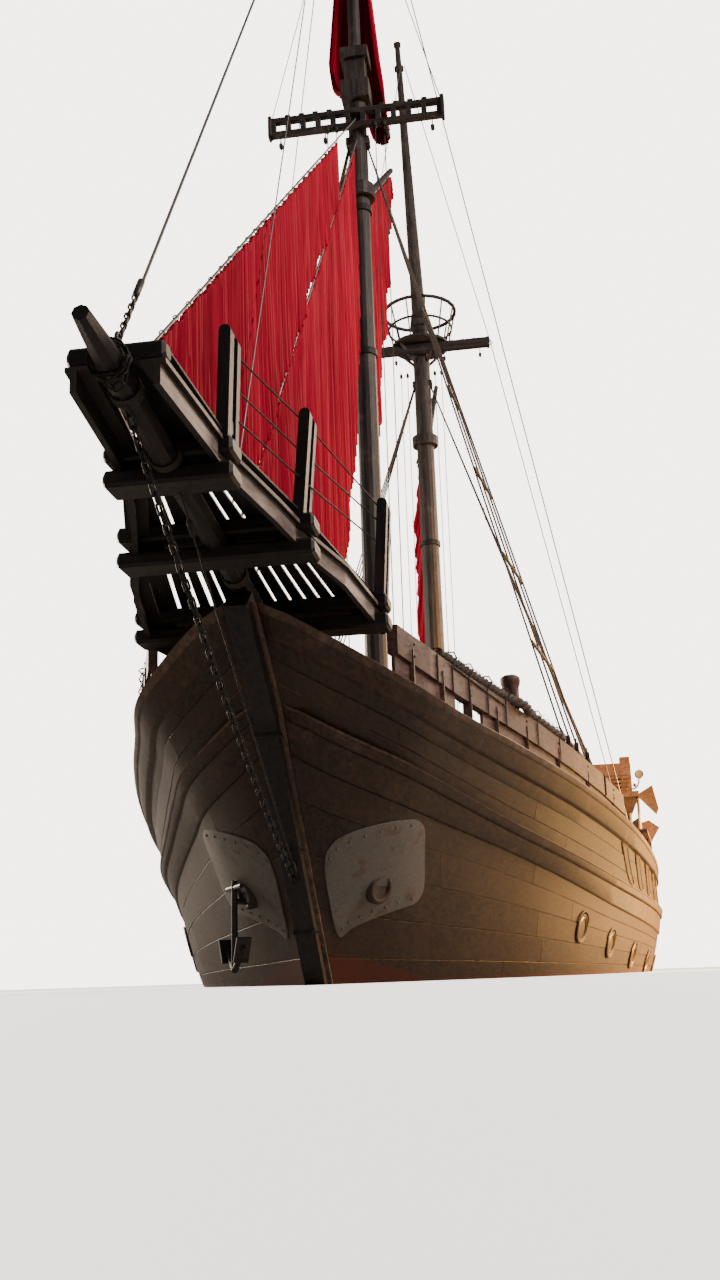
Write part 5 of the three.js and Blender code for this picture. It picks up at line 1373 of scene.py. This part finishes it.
def shroud_gear():
    """Deadeyes with their lanyards on each shroud, near its foot."""
    eyes, lanyards = [], []
    for (y_mast, _, _, hounds), top_x, feet in zip(MASTS, (0.13, 0.165), SHROUD_FEET):
        for i, y in enumerate(feet):
            top, low = planking(at_length(y, SHEER_V), SHEER_V), planking(at_length(y, DECK_V), DECK_V)
            share = 0.25 / (top.z - low.z)
            foot = Vector((top.x + (low.x - top.x) * share - BULWARK_THICK - 0.10, y, top.z - 0.25))
            head = Vector((top_x, y_mast + (i - 1.5) * 0.025, hounds))
            way = (head - foot).normalized()
            out = (Vector(X_AXIS) - way * way.x).normalized()
            across = way.cross(out)
            for at in (0.42, 0.80):
                eyes.append(lathe([(0.045, -0.034), (0.070, -0.022), (0.070, 0.022), (0.045, 0.034)],
                                  foot + way * at, out, 14))
                lanyards.append(hoop(foot + way * at, out, 0.074, 0.010, 18, 6))
            for shift in (-0.035, 0.0, 0.035):
                lanyards.append(tube([foot + way * 0.42 + across * shift + out * 0.036,
                                      foot + way * 0.80 + across * shift + out * 0.036], 0.007, 6))
            lanyards += lashing(foot + way * 0.98, way, 0.018, 6, 0.008)
    on_both("shroud_deadeyes", eyes, "dark_x", smooth=True)
    on_both("shroud_lanyards", lanyards, "rope", smooth=True)


shroud_gear()


# On deck
def coaming(half, y0, y1, low, top, thick):
    """The four sides of a box without a lid."""
    return [block(-half, half, y0, y0 + thick, low, top), block(-half, half, y1 - thick, y1, low, top),
            block(half - thick, half, y0 + thick, y1 - thick, low, top),
            block(-half, thick - half, y0 + thick, y1 - thick, low, top)]


def hatch(half, y0, y1, high):
    """A coaming with a planked cover and two battens; gives the height of its top too."""
    lap, board, seam = 0.03, 0.18, 0.003
    low = min(on_deck(x, y) for x in (0, half) for y in (y0, y1)) - 0.02
    top = max(on_deck(0, y0), on_deck(0, y1)) + high
    bodies = coaming(half, y0, y1, low, top, 0.08)
    count = round(2 * half / board)
    wide = (2 * half + 2 * lap) / count
    for i in range(count):
        x = -half - lap + wide * i
        bodies.append(block(x + seam, x + wide - seam, y0 - lap, y1 + lap, top, top + 0.04))
    for y in (y0 + 0.25, y1 - 0.31):
        bodies.append(block(-half - lap, half + lap, y, y + 0.06, top + 0.04, top + 0.07))
    return bodies, top + 0.07


def windlass():
    """A barrel with whelps between two cheeks, and a pawl post ahead of it."""
    y = 0.30
    barrel_z = on_deck(0, y) + 0.46
    timbers = []
    for way in (1, -1):
        x = way * 0.70
        foot = on_deck(x, y) - 0.02
        timbers += [block(x - 0.06, x + 0.06, y - 0.20, y + 0.20, foot, barrel_z + 0.22, 0.02),
                    between((x, y + 0.16, barrel_z + 0.05), (x, y + 0.75, on_deck(x, y + 0.75)), 0.10, 0.11)]
    timbers.append(block(-0.08, 0.08, y - 0.52, y - 0.36, on_deck(0, y - 0.4) - 0.02, barrel_z + 0.42, 0.02))
    half_barrel = [(0.16, 0.58), (0.155, 0.62), (0.155, 0.78), (0.12, 0.92), (0.145, 1.06), (0.10, 1.08)]
    profile = [(radius, -along) for radius, along in reversed(half_barrel)] + [(0.15, 0.0)] + half_barrel
    barrel = [lathe(profile, (0, y, barrel_z), X_AXIS, 16)]
    for k in range(8):
        angle = 2 * math.pi * k / 8
        rise = Vector((0, math.cos(angle), math.sin(angle))) * 0.155
        for way in (1, -1):
            inner, outer = (Vector((way * x, y, barrel_z)) + rise for x in (0.16, 0.56))
            barrel.append(between(inner, outer, 0.05, 0.05))
    rim = [(0.165, -0.03), (0.22, -0.025), (0.22, 0.025), (0.165, 0.03)]
    iron = [lathe(rim, (0, y, barrel_z), X_AXIS, 24)]
    for way in (1, -1):
        for shift in (-0.12, 0.12):
            iron.append(lathe([(0.018, -0.02), (0.02, 0.01), (0.006, 0.02)],
                              (way * 0.76, y + shift, barrel_z + 0.12), (way, 0, 0), 8))
    piece("windlass_timbers", timbers, "rail")
    piece("windlass_barrel", barrel, "dark_x", smooth=True)
    piece("windlass_irons", iron, "iron", smooth=True)


def hatches():
    """The two deck hatches, and lifting rings on the main one."""
    fore, _ = hatch(0.65, 1.95, 3.15, 0.22)
    main, main_top = hatch(1.05, 7.3, 9.5, 0.30)
    piece("fore_hatch", fore, "rail")
    piece("main_hatch", main, "rail")
    rings = [hoop((x, y, main_top + 0.02), Y_AXIS, 0.045, 0.010, 16, 6)
             for x in (-0.8, 0.8) for y in (7.58, 9.22)]
    piece("hatch_rings", rings, "black", smooth=True)


def skylight():
    """A box with a glazed gable roof."""
    y0, y1, half = 10.7, 12.3, 0.62
    low, sill = on_deck(half, y1) - 0.05, on_deck(0, y1) + 0.36
    frame_bodies = coaming(half, y0, y1, low, sill, 0.07)
    for y in (y0, y1 - 0.05):
        gable = ((-half, sill), (half, sill), (0, sill + 0.33))
        frame_bodies.append(loft([[Vector((x, a, z)) for x, z in gable] for a in (y, y + 0.05)]))
    panes = []
    for way in (1, -1):
        edge, ridge = Vector((way * (half + 0.03), 0, sill - 0.005)), Vector((0, 0, sill + 0.345))
        for k in range(5):
            along = Vector((0, y0 - 0.02 + (y1 - y0 - 0.02) * k / 4 + 0.03, 0))
            frame_bodies.append(between(edge + along, ridge + along, 0.06, 0.045))
        for share in (0.06, 0.94):
            fore, aft = (edge.lerp(ridge, share) + Vector((0, y, 0)) for y in (y0 - 0.02, y1 + 0.02))
            frame_bodies.append(between(fore, aft, 0.05, 0.045))
        slope = (ridge - edge).normalized()
        normal = Vector((-slope.z * way, 0, slope.x * way))
        normal = normal if normal.z > 0 else -normal
        corners = (edge - normal * 0.006, ridge - normal * 0.006,
                   ridge + normal * 0.004, edge + normal * 0.004)
        panes.append(loft([[p + Vector((0, y, 0)) for p in corners] for y in (y0 + 0.01, y1 - 0.01)]))
    piece("skylight_frame", frame_bodies, "rail")
    piece("skylight_panes", panes, "glass")


def mooring_bitts():
    """Pairs of turned posts with a cross bar, amidships and aft."""
    profile = [(0.085, -0.03), (0.085, 0.44), (0.10, 0.47), (0.10, 0.52), (0.06, 0.56), (0.004, 0.57)]
    posts = []
    for y in (10.6, 23.9):
        x = planking(at_length(y, DECK_V), DECK_V).x - 0.62
        foot = on_deck(x, y)
        for shift in (-0.22, 0.22):
            posts.append(lathe(profile, (x, y + shift, foot), Z_AXIS, 14))
        posts.append(block(x - 0.05, x + 0.05, y - 0.42, y + 0.42, foot + 0.24, foot + 0.34, 0.02))
    on_both("mooring_bitts", posts, "dark_z", smooth=True)


windlass()
hatches()
skylight()
mooring_bitts()


# House: half its width, its front and back, and the thickness of its walls; then the wheelhouse's own
HOUSE_HALF, HOUSE_FRONT, HOUSE_BACK, HOUSE_WALL = 3.75, 16.40, 22.20, 0.09
BRIDGE_HALF, BRIDGE_FRONT, BRIDGE_WALL = 1.70, 19.0, 0.08
# Windows of each wall: their middles along it, their width, sill and head
FRONT_WINDOWS = (-2.9, -1.8, -0.7, 2.8), 0.70, 2.60, 3.25
BACK_WINDOWS = (-2.6, -1.3, 1.3, 2.6), 0.70, 2.75, 3.35
SIDE_WINDOWS = (17.4, 18.7, 20.0, 21.3), 0.70, 2.70, 3.35
BRIDGE_FRONT_WINDOWS = (-1.05, 0.0, 1.05), 0.80, 4.721, 5.371
BRIDGE_SIDE_WINDOWS = (19.8, 21.0), 0.90, 4.721, 5.371
QUARTER = Matrix.Rotation(-math.pi / 2, 4, "Z")


def framed(x0, x1, z0, z1, face, wall, out):
    """Frame, bars and pane of a window in a wall across the ship, face being its outside."""
    wide, proud, sill_proud, lap = 0.055, 0.022, 0.04, 0.006
    y0, y1 = sorted((face + out * proud, face - out * 0.01))
    sill_y = face + out * sill_proud
    middle_x, middle_y, bar_z = (x0 + x1) / 2, face - out * wall / 2, z0 + (z1 - z0) * 0.62
    bodies = [block(x0 - wide, x1 + wide, y0, y1, z1 - lap, z1 + wide),
              block(x0 - wide - 0.02, x1 + wide + 0.02, min(y0, sill_y), max(y1, sill_y),
                    z0 - wide, z0 + lap),
              block(x0 - wide, x0 + lap, y0, y1, z0, z1), block(x1 - lap, x1 + wide, y0, y1, z0, z1),
              block(middle_x - 0.014, middle_x + 0.014, middle_y - 0.014, middle_y + 0.014, z0, z1),
              block(x0, x1, middle_y - 0.012, middle_y + 0.012, bar_z, bar_z + 0.024)]
    pane = block(x0 - 0.004, x1 + 0.004, middle_y - 0.004, middle_y + 0.004, z0 - 0.004, z1 + 0.004, 0.001)
    return bodies, pane


def windows():
    """Every window; those that face port or starboard are drawn across the ship and turned a quarter."""
    frames, panes = [], []

    def row(own_windows, face, wall, out, sideways=False):
        middles, wide, sill, head = own_windows
        for middle in middles:
            # The quarter turn takes (x, y) to (y, -x)
            x = -middle if sideways else middle
            bodies, pane = framed(x - wide / 2, x + wide / 2, sill, head, face, wall, out)
            if sideways:
                bodies, pane = [turned(b, QUARTER) for b in bodies], turned(pane, QUARTER)
            frames.extend(bodies)
            panes.append(pane)

    row(FRONT_WINDOWS, HOUSE_FRONT, HOUSE_WALL, -1)
    row(BACK_WINDOWS, HOUSE_BACK, HOUSE_WALL, 1)
    row(BRIDGE_FRONT_WINDOWS, BRIDGE_FRONT, BRIDGE_WALL, -1)
    for way in (1, -1):
        row(SIDE_WINDOWS, way * HOUSE_HALF, HOUSE_WALL, way, True)
        row(BRIDGE_SIDE_WINDOWS, way * BRIDGE_HALF, BRIDGE_WALL, way, True)
    piece("window_frames", frames, "rail")
    piece("window_panes", panes, "glass")


windows()


def door_dressing():
    """Raised rails, a boarded panel, a pane and a knob on the door, which turn with it."""
    x0, x1, z0, z1, face = 0.915, 1.73, 1.85, 3.59, 16.34
    rail, boards = 0.11, 5
    front, back = face - 0.014, face + 0.004
    bodies = [block(x0, x0 + rail, front, back, z0, z1), block(x1 - rail, x1, front, back, z0, z1)]
    for z in (z0, 2.62, z1 - rail):
        bodies.append(block(x0 + rail, x1 - rail, front, back, z, z + rail))
    wide = (x1 - x0 - 0.23) / boards
    for k in range(boards):
        a = x0 + 0.115 + wide * k
        bodies.append(block(a, a + wide - 0.006, face - 0.006, back, z0 + 0.115, 2.615, 0.003))
    piece("door_boards", bodies, "rail", body="house_door")
    pane = block(x0 + 0.13, x1 - 0.13, face - 0.005, back, 2.75, z1 - 0.13, 0.002)
    piece("door_pane", [pane], "glass", body="house_door")
    profile = [(0.028, -0.016), (0.028, -0.022), (0.010, -0.028), (0.012, -0.055), (0.028, -0.068),
               (0.026, -0.086), (0.006, -0.092)]
    knob = lathe(profile, (1.665, face, 2.70), Y_AXIS, 16)
    piece("door_knob", [knob], "brass", body="house_door", smooth=True)


door_dressing()


def house_dressing():
    """Corner posts, columns under the eaves, and mouldings where the walls meet the roof."""
    posts = []
    for y in (HOUSE_FRONT + 0.03, HOUSE_BACK - 0.03):
        posts.append(block(3.70, 3.775, y - 0.055, y + 0.055, on_deck(3.6, y) - 0.02, 3.75))
    on_both("house_corner_posts", posts, "rail")
    columns = []
    for y in (16.3, 19.3, 22.3):
        x = planking(at_length(y, SHEER_V), SHEER_V).x - BULWARK_THICK / 2 - 0.02
        foot = hit("rail_aft_port", (x, y, 3.7), (0, 0, -1)).z - 0.004
        profile = [(0.050, 0.0), (0.050, 0.03), (0.034, 0.045), (0.032, 3.70 - foot), (0.05, 3.72 - foot),
                   (0.05, 3.754 - foot)]
        columns.append(lathe(profile, (x, y, foot), Z_AXIS, 16))
    on_both("eave_columns", columns, "paint", smooth=True)
    trim = [block(x0, x1, y - 0.03, y + 0.01, 3.64, 3.72)
            for x0, x1, y in ((-3.79, 0.78, HOUSE_FRONT), (1.78, 3.79, HOUSE_FRONT), (-3.79, 3.79, 22.22))]
    piece("house_mouldings", trim, "rail")


def bridge_dressing():
    """A slatted console at each front corner of the parapet, with a lamp on a bent arm."""
    count, low, head = 5, 3.872, 4.30
    slats = []
    for k in range(count):
        z = low + 0.092 * k
        slats.append(block(3.50, 3.93 + 0.17 * (k + 1) / count, 16.635, 16.704, z, z + 0.060))
    slats += [block(x, x + 0.05, 16.66, 16.704, low, head) for x in (3.54, 3.86)]
    on_both("bridge_console", slats, "rail")
    lamp_y = 16.83
    bends = ((4.098, 4.02), (4.16, 4.02), (4.22, 4.06), (4.262, 4.14), (4.275, 4.24))
    arm = [(x, lamp_y, z) for x, z in bends]
    knot = [(0.002, -0.045), (0.03, -0.036), (0.042, 0), (0.03, 0.036), (0.002, 0.045)]
    on_both("bridge_lamp_arm", [tube(arm, 0.018, 10), lathe(knot, (4.17, lamp_y, 4.10), Z_AXIS, 14)], "pale",
            smooth=True)
    shell = [(0.004, -0.10), (0.05, -0.088), (0.085, -0.05), (0.10, 0.0), (0.098, 0.05), (0.092, 0.062),
             (0.084, 0.062), (0.078, 0.05), (0.004, 0.045)]
    on_both("bridge_lamp", [lathe(shell, (4.28, lamp_y, 4.34), (0.15, -1, 0.05), 20)], "wire", smooth=True)


def sidelights():
    """A screen board at each front corner under the eave, with a lamp behind it."""
    screen = [(4.17, 3.18), (4.38, 3.24), (4.60, 3.07), (4.36, 2.69), (4.17, 2.76)]
    boards = [loft([[Vector((x, y, z)) for x, z in screen] for y in (16.335, 16.36)]),
              block(4.17, 4.20, 16.335, 16.85, 2.76, 3.16)]
    on_both("sidelight_screen", boards, "rail")
    profile = [(0.055, -0.02), (0.055, 0.0), (0.042, 0.012), (0.046, 0.12), (0.056, 0.13), (0.03, 0.165),
               (0.004, 0.17)]
    lamps = [lathe(profile, (4.28, 16.52, 2.93), Z_AXIS, 16), block(4.19, 4.32, 16.45, 16.59, 2.885, 2.915)]
    on_both("sidelight_lamp", lamps, "brass", smooth=True)


def roof_ladder():
    """A ladder from the after deck to the roof."""
    foot_y, head_y, head_z, step = 23.15, 22.62, 4.70, 0.27
    foot_z = on_deck(0, foot_y)
    bodies = [between((x, foot_y, foot_z), (x, head_y, head_z), 0.05, 0.08) for x in (-0.22, 0.22)]
    for k in range(1, int((3.95 - foot_z) / step) + 1):
        share = step * k / (head_z - foot_z)
        y, z = foot_y + (head_y - foot_y) * share, foot_z + (head_z - foot_z) * share
        bodies.append(block(-0.21, 0.21, y - 0.035, y + 0.035, z, z + 0.03))
    bodies += [block(x - 0.03, x + 0.03, 22.54, 22.68, 3.79, 3.86) for x in (-0.22, 0.22)]
    piece("roof_ladder", bodies, "rail")


house_dressing()
bridge_dressing()
sidelights()
roof_ladder()


# Floor and light: the sky's strength for the ship and for the camera, and the floor's own glow
SKY_LIGHT, SKY_SEEN, FLOOR_GLOW = 0.22, 5.0, 2.0
FLOOR_HALF = 600


def stage():
    """A pale floor at the waterline and a bright plain sky, which light the ship less than they show."""
    mesh = bpy.data.meshes.new("floor")
    corners = [(x * FLOOR_HALF, y * FLOOR_HALF, 0) for x, y in ((-1, -1), (1, -1), (1, 1), (-1, 1))]
    mesh.from_pydata(corners, [], [(0, 1, 2, 3)])
    floor = bpy.data.objects.new("floor", mesh)
    n = Nodes("floor")
    n.shader.inputs["Base Color"].default_value = rgb(0.36, 0.35, 0.33)
    n.shader.inputs["Roughness"].default_value = 0.75
    n.shader.inputs["Emission Color"].default_value = rgb(1.0, 0.96, 0.90)
    seen = n.add("ShaderNodeLightPath").outputs["Is Camera Ray"]
    n.tree.links.new(n.spread(seen, 0, 1, 0.0, FLOOR_GLOW), n.shader.inputs["Emission Strength"])
    mesh.materials.append(n.material)
    bpy.context.scene.collection.objects.link(floor)
    world = bpy.data.worlds.new("studio")
    bpy.context.scene.world = world
    world.use_nodes = True
    tree = world.node_tree
    background = tree.nodes["Background"]
    background.inputs["Color"].default_value = rgb(1.0, 0.955, 0.90)
    path = tree.nodes.new("ShaderNodeLightPath")
    strength = tree.nodes.new("ShaderNodeMapRange")
    strength.inputs["To Min"].default_value = SKY_LIGHT
    strength.inputs["To Max"].default_value = SKY_SEEN
    tree.links.new(path.outputs["Is Camera Ray"], strength.inputs["Value"])
    tree.links.new(strength.outputs["Result"], background.inputs["Strength"])


def light(name, place, target, size, power, color, cone=None):
    """A round area lamp, or with a cone in degrees a soft-edged spot."""
    data = bpy.data.lights.new(name, "SPOT" if cone else "AREA")
    if cone:
        data.spot_size, data.spot_blend, data.shadow_soft_size = math.radians(cone), 1.0, size / 2
    else:
        data.shape = "DISK"
        data.size = size
    data.energy = power
    data.color = color
    lamp = bpy.data.objects.new(name, data)
    lamp.location = place
    lamp.rotation_mode = "QUATERNION"
    lamp.rotation_quaternion = (Vector(target) - Vector(place)).to_track_quat("-Z", "Y")
    bpy.context.scene.collection.objects.link(lamp)


# Name, place, what it points at, size, power, colour, and the cone of a spot in degrees
LAMPS = [
    ("low_warm", (14, 12, 2.2), (3.8, 12.5, 0.9), 4.0, 75000, (1.0, 0.51, 0.13), 95),
    ("high_warm", (16, 26, 16), (0, 5, 5), 12.0, 8000, (1.0, 0.74, 0.52)),
    ("left_rim", (-18, 14, 8), (-2, 0, 3), 9.0, 7000, (1.0, 0.84, 0.68)),
    ("over_port", (20, -3, 19), (0, 2, 8), 6.0, 7500, (1.0, 0.88, 0.80)),
]

stage()
for lamp_values in LAMPS:
    light(*lamp_values)
